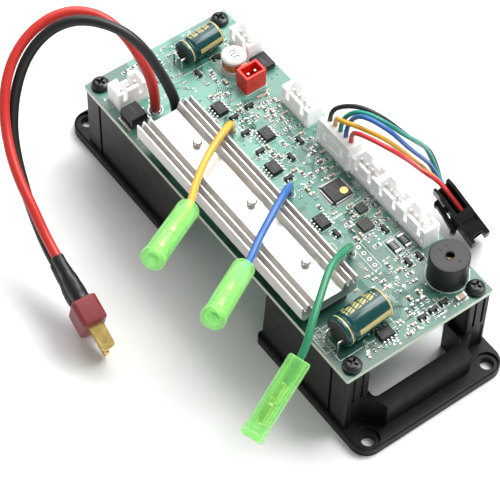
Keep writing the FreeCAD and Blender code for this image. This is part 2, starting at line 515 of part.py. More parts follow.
hb = fuse(box(-2.4, -2.5, -7.4, 7.6, 3.3, 7.4), box(7.0, -3.1, -7.4, 18.0, 3.3, 7.4))
hb = hb.cut(box(-3, -1.6, -6.3, 8.0, 2.3, 8.0))                   # open trough where the wires come in
hb = hb.cut(box(10.0, -1.95, -6.2, 19.0, 1.95, 6.2))             # mating mouth
hb = hb.cut(box(16.2, -2.0, 6.0, 19.0, 2.0, 8.0)).cut(box(16.2, -2.0, -8.0, 19.0, 2.0, -6.0))
hb = hb.cut(box(11.2, -2.2, 6.7, 12.9, 2.8, 8.0))                 # slot across the narrow face
hb = hb.cut(prism([(-2.5, -2.6, 7.5), (-2.5, -2.6, 4.4), (0.4, -2.6, 7.5)], (0, 6, 0)))   # the trough's corners are cut back
for y0, y1 in ((-3.2, -1.9), (1.9, 3.4)):                         # rounded prong tips
    for z in (-7.5, 6.4):
        hb = hb.cut(box(17.0, y0, z, 18.1, y1, z + 1.1).cut(cyl(1.1, 3, (17.0, y0 - 0.5, 6.3 if z > 0 else -6.3), (0, 1, 0))))
LL_X, LL_Y = 4.4, -3.15                 # pivot of the latch lever
for z in (3.55, -4.35):                  # ears that hold the pivot
    ear = box(LL_X - 0.75, LL_Y - 0.6, z, LL_X + 0.75, -2.4, z + 0.8)
    hb = fuse(hb, ear.cut(cyl(0.36, 3, (LL_X, LL_Y, z - 1))))
hb = fuse(hb, box(7.6, -3.7, -5.4, 11.0, -3.05, -4.2), box(7.6, -3.7, 4.2, 11.0, -3.05, 5.4))
put("harness_connector", placed(hb, HC_M))
lv = prism([(0.7, -3.05, -3.4), (2.6, -3.1, -3.4), (4.4, -3.3, -3.4), (7.0, -3.65, -3.4), (10.0, -4.05, -3.4), (11.3, -4.1, -3.4), (11.9, -4.6, -3.4),
            (11.7, -5.6, -3.4), (10.8, -6.0, -3.4), (10.2, -5.4, -3.4), (6.0, -4.85, -3.4), (3.6, -4.55, -3.4), (2.3, -4.5, -3.4),
            (1.9, -4.95, -3.4), (1.2, -4.95, -3.4), (0.6, -4.2, -3.4)], (0, 0, 6.8))
lv = lv.cut(box(6.2, -8, -1.5, 9.2, -2.9, 1.5))
lv = fuse(lv, cyl(0.55, 6.8, (LL_X, LL_Y, -3.4)), cyl(0.3, 8.3, (LL_X, LL_Y, -4.15)))
put("latch_lever", placed(lv, HC_M))
put("harness_contacts", *[placed(box(10.0, -0.4, z - 0.4, 15.6, 0.4, z + 0.4), HC_M) for z in (-5, -2.5, 0, 2.5, 5)])
print("latch pivot", loc(HC_M, LL_X, LL_Y, 0), "axis", (HC_h.x, HC_h.y, HC_h.z))

# ------------------------------------------------------------------ harness wires
BACK = -0.0


def hc(z, x=0.0):
    return loc(HC_M, x, 0.0, z)


def to_conn(z):
    """Last bend of a wire and its end inside the connector's trough, in line with the trough."""
    return [loc(HC_M, -2.0, 0.7, z), loc(HC_M, 8.0, 0.7, z)]


WY = C_Y - 0.2
ROUTES = {
    "harness_wire_black": [(-4.95, WY, PLUG_TOP), (-4.95, WY, 44.2), (-1.0, 23.1, 48.6), (3.1, 26.2, 49.7), (8.5, 30.1, 47.1),
                           (11.7, 33.9, 42.0), (12.3, 38.1, 35.6), (11.2, 42.9, 28.5), (11.2, 46.6, 23.6), (13.3, 48.5, 17.4)] + to_conn(-5.0),
    "harness_wire_yellow": [(-2.45, WY, PLUG_TOP), (-2.45, WY, 43.4), (1.4, 19.0, 47.2), (7.6, 21.6, 48.4), (12.8, 27.2, 44.2),
                            (14.6, 32.0, 37.4), (14.6, 36.1, 30.9), (15.4, 39.6, 25.3), (18.3, 42.8, 20.5)] + to_conn(2.5),
    "harness_wire_green": [(0.05, WY, PLUG_TOP), (0.05, WY, 44.5), (2.0, 23.4, 48.5), (5.8, 25.7, 50.0), (11.3, 29.2, 48.1),
                           (14.1, 32.9, 43.5), (14.2, 37.1, 38.0), (13.4, 41.2, 32.3), (12.7, 44.8, 25.9), (14.5, 46.8, 18.9)] + to_conn(-2.5),
    "harness_wire_blue": [(2.55, WY, PLUG_TOP), (2.55, WY, 44.6), (4.4, 22.8, 49.8), (9.4, 24.0, 52.2), (15.4, 27.4, 49.6),
                          (17.8, 31.2, 43.1), (18.0, 35.1, 37.0), (17.0, 39.5, 30.0), (15.7, 43.8, 22.7)] + to_conn(0.0),
    "harness_wire_red": [(5.05, WY, PLUG_TOP), (5.05, WY, 43.6), (8.8, 20.0, 48.0), (13.7, 21.0, 49.6), (19.2, 24.5, 47.5),
                         (21.6, 28.3, 43.0), (21.0, 32.4, 36.5), (18.9, 36.5, 29.3), (18.7, 40.2, 23.8)] + to_conn(5.0),
}
for n, r in ROUTES.items():
    put(n, tube(r, WIRE_D, n))

# ------------------------------------------------------------------ battery leads and plug
TP_O = V(-10.1, -65.2, 11.6)            # middle of the plug's back face
TP_M, TP_a, TP_w, TP_h = frame_of(TP_O, V(0.942, -0.07, -0.328), V(0.322, -0.086, 0.943))
tb_ = prism([(0, -2.9, -7.2), (0, 2.9, -7.2), (0, 3.9, -6.0), (0, 3.9, 6.0), (0, 2.9, 7.2), (0, -2.9, 7.2), (0, -3.9, 6.0), (0, -3.9, -6.0)], (8.2, 0, 0))
for z in (-3.6, 3.6):
    tb_ = tb_.cut(box(-1, -4.5, z - 0.3, 5.5, -3.4, z + 0.3)).cut(box(-1, 3.4, z - 0.3, 5.5, 4.5, z + 0.3))
put("battery_plug_body", placed(tb_, TP_M))
put("battery_plug_blades", placed(box(8.2, -2.3, 2.6, 16.4, 2.3, 4.2), TP_M), placed(box(8.2, -0.8, -5.6, 16.4, 0.8, -1.4), TP_M))
SH_L = 15.0
put("lead_shrink_sleeves",
    placed(revolve([(0, 0), (2.7, 0), (2.75, 5.0), (2.2, 8.5), (1.95, 15.0), (0, 15.0)], (0, 0, 3.45), (-1, 0, 0)), TP_M),
    placed(revolve([(0, 0), (2.7, 0), (2.75, 5.0), (2.2, 8.5), (1.95, 15.0), (0, 15.0)], (0, 0, -3.45), (-1, 0, 0)), TP_M))


def tp(x, z):
    return loc(TP_M, x, 0.0, z)


RED = [(-44.7, -14.0, P), (-44.7, -14.0, 36.6), (-46.5, -14.4, 43.4), (-50.7, -15.1, 49.4), (-57.1, -16.0, 54.0), (-63.8, -18.7, 57.2),
       (-69.0, -23.9, 58.7), (-71.9, -30.5, 58.2), (-72.6, -38.2, 55.7), (-70.7, -45.5, 52.1), (-66.9, -51.4, 47.7), (-62.0, -55.7, 42.8),
       (-56.4, -58.7, 38.4), (-50.1, -61.1, 35.0), (-43.6, -62.6, 31.6), (-37.3, -63.2, 28.1)] + [tp(-SH_L - 6.0, 3.45), tp(-SH_L, 3.45)]
BLK = [(-38.4, -10.7, P), (-38.4, -10.7, 36.0), (-39.9, -11.8, 42.5), (-43.2, -13.5, 49.6), (-47.8, -15.4, 55.9), (-52.7, -18.1, 60.0),
       (-58.2, -22.4, 62.1), (-63.3, -27.1, 61.9), (-66.7, -32.6, 59.9), (-67.9, -38.6, 56.4), (-67.3, -44.1, 51.6), (-65.1, -48.8, 46.1),
       (-61.4, -53.1, 40.5), (-56.8, -56.4, 35.4), (-51.6, -58.6, 30.6), (-46.0, -60.4, 26.6), (-40.7, -61.9, 23.2)] \
    + [tp(-SH_L - 6.0, -3.45), tp(-SH_L, -3.45)]
put("battery_lead_red", tube(RED, LEAD_D, "battery_lead_red"))
put("battery_lead_black", tube(BLK, LEAD_D, "battery_lead_black"))

# ------------------------------------------------------------------ phase leads, bullet contacts, sliding sleeves
# sleeve start, sleeve direction, bends of the lead before the straight stretch
PH = {
    "yellow": ((0.69, -33.94, 45.53), (0.48717, -0.83494, 0.25601),
               [(-24.7, -0.2, P), (-24.7, -0.2, 32.8), (-18.1, -6.3, 44.0), (-13.9, -16.8, 42.5), (-6.4, -26.7, 43.7), (-0.9, -32.2, 44.8)]),
    "blue": ((25.99, -33.31, 45.13), (0.51725, -0.79432, 0.3186),
             [(4.1, -0.3, P), (4.1, -0.3, 32.8), (8.9, -4.7, 42.5), (14.9, -14.7, 44.3), (19.9, -24.2, 42.9), (24.3, -30.2, 42.9)]),
    "green": ((55.77, -35.86, 38.44), (0.25854, -0.84079, -0.47564),
              [(31.3, 1.0, P), (31.3, 1.0, 32.8), (35.4, -3.4, 41.1), (39.0, -12.9, 45.3), (46.0, -22.1, 44.2), (50.8, -28.6, 42.6), (54.5, -33.1, 40.2)]),
}
bul = []
SLEEVES = {}
for col, (s, d, bends) in PH.items():
    S, D = V(*s), V(*d)
    D.normalize()
    q = S + D * 2.5
    e = S + D * 8.0
    route = bends + [(q.x, q.y, q.z), (e.x, e.y, e.z)]
    put("phase_lead_" + col, tube(route, PHASE_D, "phase_lead_" + col))
    print("   route", [tuple(round(c, 3) for c in r) for r in route])
    up = V(0, 0, 1)
    b = revolve([(0, 0), (1.5, 0), (1.75, 0.6), (1.75, 5.0), (1.2, 5.6), (1.2, 6.4), (1.75, 6.9), (1.85, 9.5), (1.75, 12.0), (1.2, 12.9), (0, 13.2)],
                (e.x, e.y, e.z), (D.x, D.y, D.z))
    bul.append(b)
    L = SLEEVE_L
    prof = [(SLEEVE_BORE, 0), (SLEEVE_R - 0.35, 0), (SLEEVE_R, 0.5), (SLEEVE_R, L - 4.6), (SLEEVE_R - 0.2, L - 4.2), (SLEEVE_R - 0.2, L - 3.7),
            (SLEEVE_R + 0.05, L - 3.3), (SLEEVE_R + 0.05, L - 2.6), (SLEEVE_R - 0.1, L - 2.3), (SLEEVE_R + 0.3, L - 1.7), (SLEEVE_R + 0.3, L - 0.4),
            (SLEEVE_R, L), (SLEEVE_BORE + 0.35, L), (SLEEVE_BORE, L - 0.6)]
    sl_ = revolve(prof, (S.x, S.y, S.z), (D.x, D.y, D.z))
    put("sleeve_" + col, sl_)
    print("   sleeve axis", col, (round(D.x, 5), round(D.y, 5), round(D.z, 5)), "start", s)
put("bullet_contacts", *bul)

# ------------------------------------------------------------------ write
for n, solids in NODES.items():
    for s in solids:
        if not s.isValid() or s.Volume <= 0:
            print("BAD", n, s.isValid(), s.Volume)
    shape = solids[0] if len(solids) == 1 else Part.makeCompound(solids)
    shape.exportStep("parts/%s.step" % n)
print(len(NODES), "nodes,", sum(len(s) for s in NODES.values()), "solids")
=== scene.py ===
import bpy, bmesh, math, random
from mathutils import Vector, Matrix


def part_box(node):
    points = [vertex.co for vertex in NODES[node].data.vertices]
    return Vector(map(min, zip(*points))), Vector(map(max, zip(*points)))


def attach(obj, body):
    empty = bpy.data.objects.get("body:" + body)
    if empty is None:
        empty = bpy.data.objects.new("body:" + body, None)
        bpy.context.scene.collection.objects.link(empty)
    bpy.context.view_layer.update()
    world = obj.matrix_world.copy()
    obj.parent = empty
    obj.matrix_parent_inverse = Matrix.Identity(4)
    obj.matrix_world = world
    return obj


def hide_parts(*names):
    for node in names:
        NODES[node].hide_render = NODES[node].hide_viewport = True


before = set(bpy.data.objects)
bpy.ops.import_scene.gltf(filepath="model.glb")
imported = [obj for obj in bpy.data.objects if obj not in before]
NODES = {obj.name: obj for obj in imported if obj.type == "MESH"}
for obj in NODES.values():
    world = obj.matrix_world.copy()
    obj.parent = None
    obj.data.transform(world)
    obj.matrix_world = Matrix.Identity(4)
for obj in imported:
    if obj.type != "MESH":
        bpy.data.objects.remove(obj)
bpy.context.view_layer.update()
rnd = random.Random(11)
BASE = "controller"
MM = 0.001
scene = bpy.context.scene


# ------------------------------------------------------------------ materials
def shader(name, color, rough=0.5, metal=0.0, var=0.08, vscale=260.0, rvar=0.08, rscale=500.0, bump=0.1, bscale=1500.0,
           dist=0.00004, edge=0.0, coat=0.0, coat_rough=0.1, trans=0.0, ior=1.5, sss=0.0, sss_r=(0.002, 0.002, 0.002), spec=0.5,
           stretch=(1, 1, 1), sheen=0.0, tint=None, aniso=0.0):
    m = bpy.data.materials.new(name)
    m.use_nodes = True
    nt = m.node_tree
    b = nt.nodes["Principled BSDF"]
    tc = nt.nodes.new("ShaderNodeTexCoord")
    mp = nt.nodes.new("ShaderNodeMapping")
    mp.inputs["Scale"].default_value = stretch
    nt.links.new(tc.outputs["Object"], mp.inputs["Vector"])
    n1 = nt.nodes.new("ShaderNodeTexNoise")
    n1.inputs["Scale"].default_value = vscale
    n1.inputs["Detail"].default_value = 5.0
    nt.links.new(mp.outputs[0], n1.inputs["Vector"])
    mix = nt.nodes.new("ShaderNodeMix")
    mix.data_type = "RGBA"
    lo = [max(0.0, c * (1 - var)) for c in color[:3]]
    hi = [min(1.0, c * (1 + var)) for c in (tint or color)[:3]]
    mix.inputs[6].default_value = (*lo, 1)
    mix.inputs[7].default_value = (*hi, 1)
    nt.links.new(n1.outputs["Fac"], mix.inputs[0])
    nt.links.new(mix.outputs[2], b.inputs["Base Color"])
    n2 = nt.nodes.new("ShaderNodeTexNoise")
    n2.inputs["Scale"].default_value = rscale
    n2.inputs["Detail"].default_value = 4.0
    nt.links.new(mp.outputs[0], n2.inputs["Vector"])
    mr = nt.nodes.new("ShaderNodeMapRange")
    mr.inputs["To Min"].default_value = max(0.02, rough - rvar)
    mr.inputs["To Max"].default_value = min(1.0, rough + rvar)
    nt.links.new(n2.outputs["Fac"], mr.inputs["Value"])
    nt.links.new(mr.outputs[0], b.inputs["Roughness"])
    n3 = nt.nodes.new("ShaderNodeTexNoise")
    n3.inputs["Scale"].default_value = bscale
    n3.inputs["Detail"].default_value = 3.0
    nt.links.new(mp.outputs[0], n3.inputs["Vector"])
    bp = nt.nodes.new("ShaderNodeBump")
    bp.inputs["Strength"].default_value = bump
    bp.inputs["Distance"].default_value = dist
    nt.links.new(n3.outputs["Fac"], bp.inputs["Height"])
    if edge > 0:
        bv = nt.nodes.new("ShaderNodeBevel")
        bv.samples = 4
        bv.inputs["Radius"].default_value = edge
        nt.links.new(bv.outputs[0], bp.inputs["Normal"])
    nt.links.new(bp.outputs[0], b.inputs["Normal"])
    b.inputs["Metallic"].default_value = metal
    b.inputs["IOR"].default_value = ior
    b.inputs["Specular IOR Level"].default_value = spec
    b.inputs["Coat Weight"].default_value = coat
    b.inputs["Coat Roughness"].default_value = coat_rough
    b.inputs["Transmission Weight"].default_value = trans
    b.inputs["Subsurface Weight"].default_value = sss
    b.inputs["Subsurface Radius"].default_value = sss_r
    b.inputs["Subsurface Scale"].default_value = 1.0
    b.inputs["Sheen Weight"].default_value = sheen
    b.inputs["Anisotropic"].default_value = aniso
    return m


M = {}
M["bracket"] = shader("bracket_plastic", (0.0034, 0.0034, 0.0037), 0.42, var=0.2, vscale=120, rvar=0.1, rscale=260, bump=0.3, bscale=2600, dist=0.00004, edge=0.0004, spec=0.2)
M["black_screw"] = shader("black_oxide", (0.008, 0.008, 0.009), 0.32, metal=0.0, var=0.3, bump=0.15, edge=0.00015, spec=0.5)
M["steel"] = shader("screw_steel", (0.62, 0.61, 0.58), 0.3, metal=1.0, var=0.1, rvar=0.1, edge=0.00012)
M["alu"] = shader("extruded_aluminium", (0.66, 0.645, 0.625), 0.36, metal=1.0, var=0.05, vscale=900, rvar=0.08, rscale=700, bump=0.3, bscale=1400, dist=0.00003,
                  stretch=(0.02, 1, 1), edge=0.0001, tint=(0.72, 0.7, 0.68))
M["pad"] = shader("thermal_pad", (0.42, 0.45, 0.48), 0.8, var=0.1)
M["chip"] = shader("moulded_epoxy", (0.011, 0.011, 0.0113), 0.42, var=0.22, vscale=900, rvar=0.1, bump=0.4, bscale=6000, dist=0.00002, edge=0.00008, spec=0.4)
M["chip_grey"] = shader("moulded_epoxy_grey", (0.026, 0.0252, 0.0245), 0.36, var=0.15, vscale=900, bump=0.3, bscale=6000, dist=0.00002, edge=0.00008, spec=0.4)
M["mark"] = shader("laser_mark", (0.13, 0.13, 0.125), 0.6, var=0.15)
M["tin"] = shader("tinned_lead", (0.6, 0.59, 0.57), 0.28, metal=1.0, var=0.1, vscale=1500, rvar=0.12, bump=0.2, bscale=3000)
M["solder"] = shader("solder_joint", (0.6, 0.6, 0.59), 0.25, metal=1.0, var=0.12, vscale=1200, rvar=0.14, bump=0.35, bscale=2500, dist=0.00006)
M["gold"] = shader("gold_plate", (0.86, 0.6, 0.22), 0.24, metal=1.0, var=0.1, vscale=700, rvar=0.1, bump=0.15)
M["brass"] = shader("bullet_brass", (0.92, 0.78, 0.45), 0.25, metal=1.0, var=0.1, rvar=0.1, bump=0.15)
M["ceramic"] = shader("fired_ceramic", (0.42, 0.31, 0.2), 0.4, var=0.15, vscale=1500)
M["alumina"] = shader("alumina", (0.78, 0.77, 0.73), 0.5, var=0.06, vscale=1500)
M["glaze"] = shader("resistor_glaze", (0.02, 0.02, 0.022), 0.28, var=0.2, vscale=1500)
M["bung"] = shader("rubber_bung", (0.02, 0.02, 0.02), 0.7, var=0.2)
M["can_end"] = shader("can_aluminium", (0.8, 0.8, 0.8), 0.3, metal=1.0, var=0.06, rvar=0.1, bump=0.2)
M["ferrite"] = shader("ferrite_white", (0.74, 0.73, 0.69), 0.55, var=0.08, vscale=900, bump=0.3, bscale=3500)
M["ferrite_dark"] = shader("ferrite_dark", (0.05, 0.045, 0.042), 0.55, var=0.2, vscale=900)
M["copper"] = shader("enamelled_copper", (0.72, 0.3, 0.12), 0.25, metal=1.0, var=0.15, coat=0.5, bump=0.1)
M["buzzer"] = shader("buzzer_noryl", (0.0105, 0.0095, 0.0092), 0.46, var=0.14, vscale=500, rvar=0.08, bump=0.4, bscale=3200, dist=0.00006, edge=0.0003, spec=0.5)
M["nylon"] = shader("natural_nylon", (0.97, 0.97, 0.96), 0.3, var=0.02, vscale=300, rvar=0.07, bump=0.12, bscale=1800, edge=0.00014, sss=0.45, sss_r=(0.0018, 0.0018, 0.0017), spec=0.5)
# painted glow: a faint white emission brightens the nylon
nylon = M["nylon"].node_tree.nodes["Principled BSDF"]
nylon.inputs["Emission Color"].default_value = (1.0, 1.0, 0.99, 1)
nylon.inputs["Emission Strength"].default_value = 0.09
M["red_nylon"] = shader("red_nylon", (0.78, 0.022, 0.012), 0.3, var=0.1, vscale=300, bump=0.12, edge=0.00014, sss=0.12, sss_r=(0.001, 0.0003, 0.0002))
M["connector"] = shader("connector_black", (0.0045, 0.0045, 0.005), 0.4, var=0.2, vscale=300, bump=0.25, bscale=2500, edge=0.0002, spec=0.32)
M["red_wire"] = shader("red_silicone", (0.58, 0.022, 0.014), 0.4, var=0.08, vscale=160, rvar=0.06, bump=0.12, bscale=900, sheen=0.1, coat=0.12, coat_rough=0.35)
M["black_wire"] = shader("black_silicone", (0.007, 0.007, 0.008), 0.42, var=0.18, vscale=160, rvar=0.06, bump=0.12, bscale=900, coat=0.1, coat_rough=0.35)
M["yellow_wire"] = shader("yellow_pvc", (0.72, 0.4, 0.03), 0.36, var=0.07, vscale=200, bump=0.1, bscale=900, coat=0.15, coat_rough=0.3)
M["blue_wire"] = shader("blue_pvc", (0.025, 0.13, 0.42), 0.36, var=0.08, vscale=200, bump=0.1, bscale=900, coat=0.15, coat_rough=0.3)
M["green_wire"] = shader("green_pvc", (0.015, 0.22, 0.1), 0.36, var=0.08, vscale=200, bump=0.1, bscale=900, coat=0.15, coat_rough=0.3)
M["teal_wire"] = shader("teal_pvc", (0.008, 0.27, 0.2), 0.36, var=0.08, vscale=200, bump=0.1, bscale=900, coat=0.15, coat_rough=0.3)
M["red_pvc"] = shader("red_pvc", (0.66, 0.03, 0.03), 0.36, var=0.08, vscale=200, bump=0.1, bscale=900, coat=0.15, coat_rough=0.3)
M["plug"] = shader("plug_nylon", (0.25, 0.035, 0.042), 0.36, var=0.14, vscale=220, rvar=0.1, bump=0.3, bscale=1600, dist=0.00006, edge=0.0003, sss=0.05, sss_r=(0.001, 0.0004, 0.0003))
M["shrink"] = shader("heat_shrink", (0.006, 0.006, 0.0065), 0.44, var=0.25, vscale=200, rvar=0.12, rscale=180, bump=0.6, bscale=420, dist=0.0002)
M["silk"] = shader("silkscreen_ink", (0.62, 0.68, 0.64), 0.6, var=0.05, vscale=1500, bump=0.3, bscale=5000, dist=0.00002)
M["trace_hi"] = shader("masked_track_light", (0.075, 0.27, 0.2), 0.36, var=0.12, vscale=200, spec=0.35)
M["trace_lo"] = shader("masked_gap_dark", (0.003, 0.06, 0.036), 0.4, var=0.15, vscale=200, spec=0.35)
M["flux"] = shader("flux_residue", (0.3, 0.3, 0.2), 0.35, var=0.3)
M["yellow_dot"] = shader("paint_dot", (0.85, 0.72, 0.25), 0.45, var=0.08, vscale=900, bump=0.3, bscale=2500, dist=0.00004)


def board_material():
    m = bpy.data.materials.new("solder_mask")
    m.use_nodes = True
    nt = m.node_tree
    b = nt.nodes["Principled BSDF"]
    tc = nt.nodes.new("ShaderNodeTexCoord")

    def noise(scale, detail=3.0):
        n = nt.nodes.new("ShaderNodeTexNoise")
        n.inputs["Scale"].default_value = scale
        n.inputs["Detail"].default_value = detail
        nt.links.new(tc.outputs["Object"], n.inputs["Vector"])
        return n

    def ramp(src, a, c):
        r = nt.nodes.new("ShaderNodeMapRange")
        r.inputs["From Min"].default_value = a
        r.inputs["From Max"].default_value = c
        nt.links.new(src, r.inputs["Value"])
        return r.outputs[0]

    def mixc(f, a, c):
        x = nt.nodes.new("ShaderNodeMix")
        x.data_type = "RGBA"
        for i, v in ((6, a), (7, c)):
            if isinstance(v, tuple):
                x.inputs[i].default_value = (*v, 1)
            else:
                nt.links.new(v, x.inputs[i])
        nt.links.new(f, x.inputs[0])
        return x.outputs[2]

    def op(kind, a, c):
        x = nt.nodes.new("ShaderNodeMath")
        x.operation = kind
        for i, v in enumerate((a, c)):
            if isinstance(v, (int, float)):
                x.inputs[i].default_value = v
            else:
                nt.links.new(v, x.inputs[i])
        return x.outputs[0]

    sx = nt.nodes.new("ShaderNodeSeparateXYZ")
    nt.links.new(tc.outputs["Object"], sx.inputs[0])
    # copper pour under the mask, in big patches with thin gaps
    vor = nt.nodes.new("ShaderNodeTexVoronoi")
    vor.distance = "CHEBYCHEV"
    vor.feature = "F1"
    vor.inputs["Scale"].default_value = 95.0
    vor.inputs["Randomness"].default_value = 0.85
    nt.links.new(tc.outputs["Object"], vor.inputs["Vector"])
    patch = ramp(vor.outputs["Color"], 0.3, 0.55)
    big = ramp(noise(26.0, 2.0).outputs["Fac"], 0.38, 0.62)
    along = ramp(op("ADD", sx.outputs["X"], op("MULTIPLY", noise(18.0, 2.0).outputs["Fac"], 0.03)), 0.055, 0.0)            # painted sheen: the mask colour is lighter towards the −X end
    mint, mid, deep = (0.085, 0.3, 0.225), (0.006, 0.115, 0.072), (0.001, 0.04, 0.022)
    # painted sheen: mint is mixed in towards the −X end to stand in for the pale reflection there
    c1 = mixc(along, mid, mint)
    c2 = mixc(op("MULTIPLY", op("SUBTRACT", 1.0, patch), op("ADD", 0.35, op("MULTIPLY", big, 0.4))), c1, deep)
    # painted shade: a darker strip under the heatsink edge and at the near rim
    painted_shade_strip = ramp(sx.outputs["Y"], -0.0235, -0.0262)
    c4 = mixc(op("MULTIPLY", painted_shade_strip, 0.75), c2, deep)
    # cut edge of the laminate is pale
    geo = nt.nodes.new("ShaderNodeNewGeometry")
    sn = nt.nodes.new("ShaderNodeSeparateXYZ")
    nt.links.new(geo.outputs["Normal"], sn.inputs[0])
    side = ramp(op("ABSOLUTE", sn.outputs["Z"], 0.0), 0.6, 0.4)
    c5 = mixc(side, c4, (0.5, 0.58, 0.44))
    nt.links.new(c5, b.inputs["Base Color"])
    nt.links.new(ramp_to(nt, noise(420.0).outputs["Fac"], 0.24, 0.42), b.inputs["Roughness"])
    bp = nt.nodes.new("ShaderNodeBump")
    bp.inputs["Strength"].default_value = 0.3
    bp.inputs["Distance"].default_value = 0.00004
    nt.links.new(patch, bp.inputs["Height"])
    nt.links.new(bp.outputs[0], b.inputs["Normal"])
    b.inputs["Coat Weight"].default_value = 0.35
    b.inputs["Coat Roughness"].default_value = 0.38
    b.inputs["Specular IOR Level"].default_value = 0.85
    return m


def ramp_to(nt, src, a, c):
    r = nt.nodes.new("ShaderNodeMapRange")
    r.inputs["To Min"].default_value = a
    r.inputs["To Max"].default_value = c
    nt.links.new(src, r.inputs["Value"])
    return r.outputs[0]


M["board"] = board_material()


def sleeve_material():
    m = shader("green_vinyl_painted_glow", (0.34, 0.9, 0.22), 0.22, var=0.06, vscale=150, rvar=0.07, bump=0.25, bscale=700, dist=0.00008, coat=0.4, coat_rough=0.1, tint=(0.45, 0.98, 0.32))
    nt = m.node_tree
    b = nt.nodes["Principled BSDF"]
    # painted glow: a faint green emission stands in for light lost inside the translucent sleeve
    b.inputs["Emission Color"].default_value = (0.35, 1.0, 0.22, 1)
    b.inputs["Emission Strength"].default_value = 0.08
    clear = nt.nodes.new("ShaderNodeBsdfTransparent")
    clear.inputs["Color"].default_value = (0.86, 1.0, 0.82, 1)
    lw = nt.nodes.new("ShaderNodeLayerWeight")
    lw.inputs["Blend"].default_value = 0.35
    mr = nt.nodes.new("ShaderNodeMapRange")
    mr.inputs["To Min"].default_value = 0.2
    mr.inputs["To Max"].default_value = 0.78
    nt.links.new(lw.outputs["Facing"], mr.inputs["Value"])
    mx = nt.nodes.new("ShaderNodeMixShader")
    nt.links.new(mr.outputs[0], mx.inputs[0])
    nt.links.new(clear.outputs[0], mx.inputs[1])
    nt.links.new(b.outputs[0], mx.inputs[2])
    nt.links.new(mx.outputs[0], nt.nodes["Material Output"].inputs["Surface"])
    return m


M["sleeve"] = sleeve_material()


STRIPE, BAND = 1.3, -0.35


def can_material(name, axis_p, axis_d, up, r, y0, y1):
    """Printed film of a capacitor: dark teal with gold bands at its ends and a gold stripe of dashes."""
    m = shader(name, (0.003, 0.05, 0.052), 0.24, var=0.12, vscale=200, rvar=0.05, bump=0.08, coat=0.25, coat_rough=0.12, spec=0.35)
    nt = m.node_tree
    b = nt.nodes["Principled BSDF"]
    base = b.inputs["Base Color"].links[0].from_socket
    tc = nt.nodes.new("ShaderNodeTexCoord")

    def dot(v, off):
        s = nt.nodes.new("ShaderNodeVectorMath")
        s.operation = "SUBTRACT"
        nt.links.new(tc.outputs["Object"], s.inputs[0])
        s.inputs[1].default_value = off
        d = nt.nodes.new("ShaderNodeVectorMath")
        d.operation = "DOT_PRODUCT"
        nt.links.new(s.outputs[0], d.inputs[0])
        d.inputs[1].default_value = v
        return d.outputs["Value"]

    def op(kind, a, c=0.0, e=None):
        x = nt.nodes.new("ShaderNodeMath")
        x.operation = kind
        for i, v in enumerate((a, c) if e is None else (a, c, e)):
            if isinstance(v, (int, float)):
                x.inputs[i].default_value = v
            else:
                nt.links.new(v, x.inputs[i])
        return x.outputs[0]

    side = axis_d.cross(up)
    al = dot(tuple(axis_d), tuple(axis_p))
    a = op("ARCTAN2", dot(tuple(side), tuple(axis_p)), dot(tuple(up), tuple(axis_p)))
    # a lengthways stripe low on the side, rings at both ends, short dashes beside the stripe
    stripe = op("MULTIPLY", op("LESS_THAN", op("ABSOLUTE", op("SUBTRACT", a, STRIPE)), 0.2), op("GREATER_THAN", al, y0 + 0.0042))
    marks = op("MULTIPLY", op("LESS_THAN", op("ABSOLUTE", op("SUBTRACT", a, BAND)), 0.3),
               op("MULTIPLY", op("LESS_THAN", op("FRACT", op("MULTIPLY", al, 430.0)), 0.8), op("GREATER_THAN", op("SINE", op("ADD", op("MULTIPLY", a, 26.0), op("MULTIPLY", al, 1900.0))), -0.55)))
    marks2 = op("MULTIPLY", op("LESS_THAN", op("ABSOLUTE", op("SUBTRACT", a, BAND - 0.45)), 0.08), op("LESS_THAN", op("FRACT", op("MULTIPLY", al, 260.0)), 0.3))
    inside = op("MULTIPLY", op("GREATER_THAN", al, y0 + 0.0035), op("LESS_THAN", al, y1 - 0.0022))
    ring = op("LESS_THAN", op("ABSOLUTE", op("SUBTRACT", al, y1 - 0.0005)), 0.0003)
    ring2 = op("LESS_THAN", op("ABSOLUTE", op("SUBTRACT", al, y0 + 0.0015)), 0.00022)
    g = op("MINIMUM", op("ADD", op("ADD", op("MULTIPLY", op("ADD", marks, marks2), inside), stripe), op("ADD", ring, ring2)), 1.0)
    mx = nt.nodes.new("ShaderNodeMix")
    mx.data_type = "RGBA"
    nt.links.new(base, mx.inputs[6])
    mx.inputs[7].default_value = (0.5, 0.44, 0.16, 1)
    nt.links.new(g, mx.inputs[0])
    nt.links.new(mx.outputs[2], b.inputs["Base Color"])
    return m


# ------------------------------------------------------------------ mesh helpers (millimetres in, metres out)
def piece(name, bm, mat, body=BASE, angle=32, replaces=()):
    bmesh.ops.scale(bm, vec=(MM, MM, MM), verts=bm.verts)
    bmesh.ops.recalc_face_normals(bm, faces=bm.faces)
    me = bpy.data.meshes.new(name)
    bm.to_mesh(me)
    bm.free()
    for p in me.polygons:
        p.use_smooth = True
    me.set_sharp_from_angle(angle=math.radians(angle))
    ob = bpy.data.objects.new(name, me)
    scene.collection.objects.link(ob)
    me.materials.append(mat)
    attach(ob, body)
    if replaces:
        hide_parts(*replaces)
    return ob


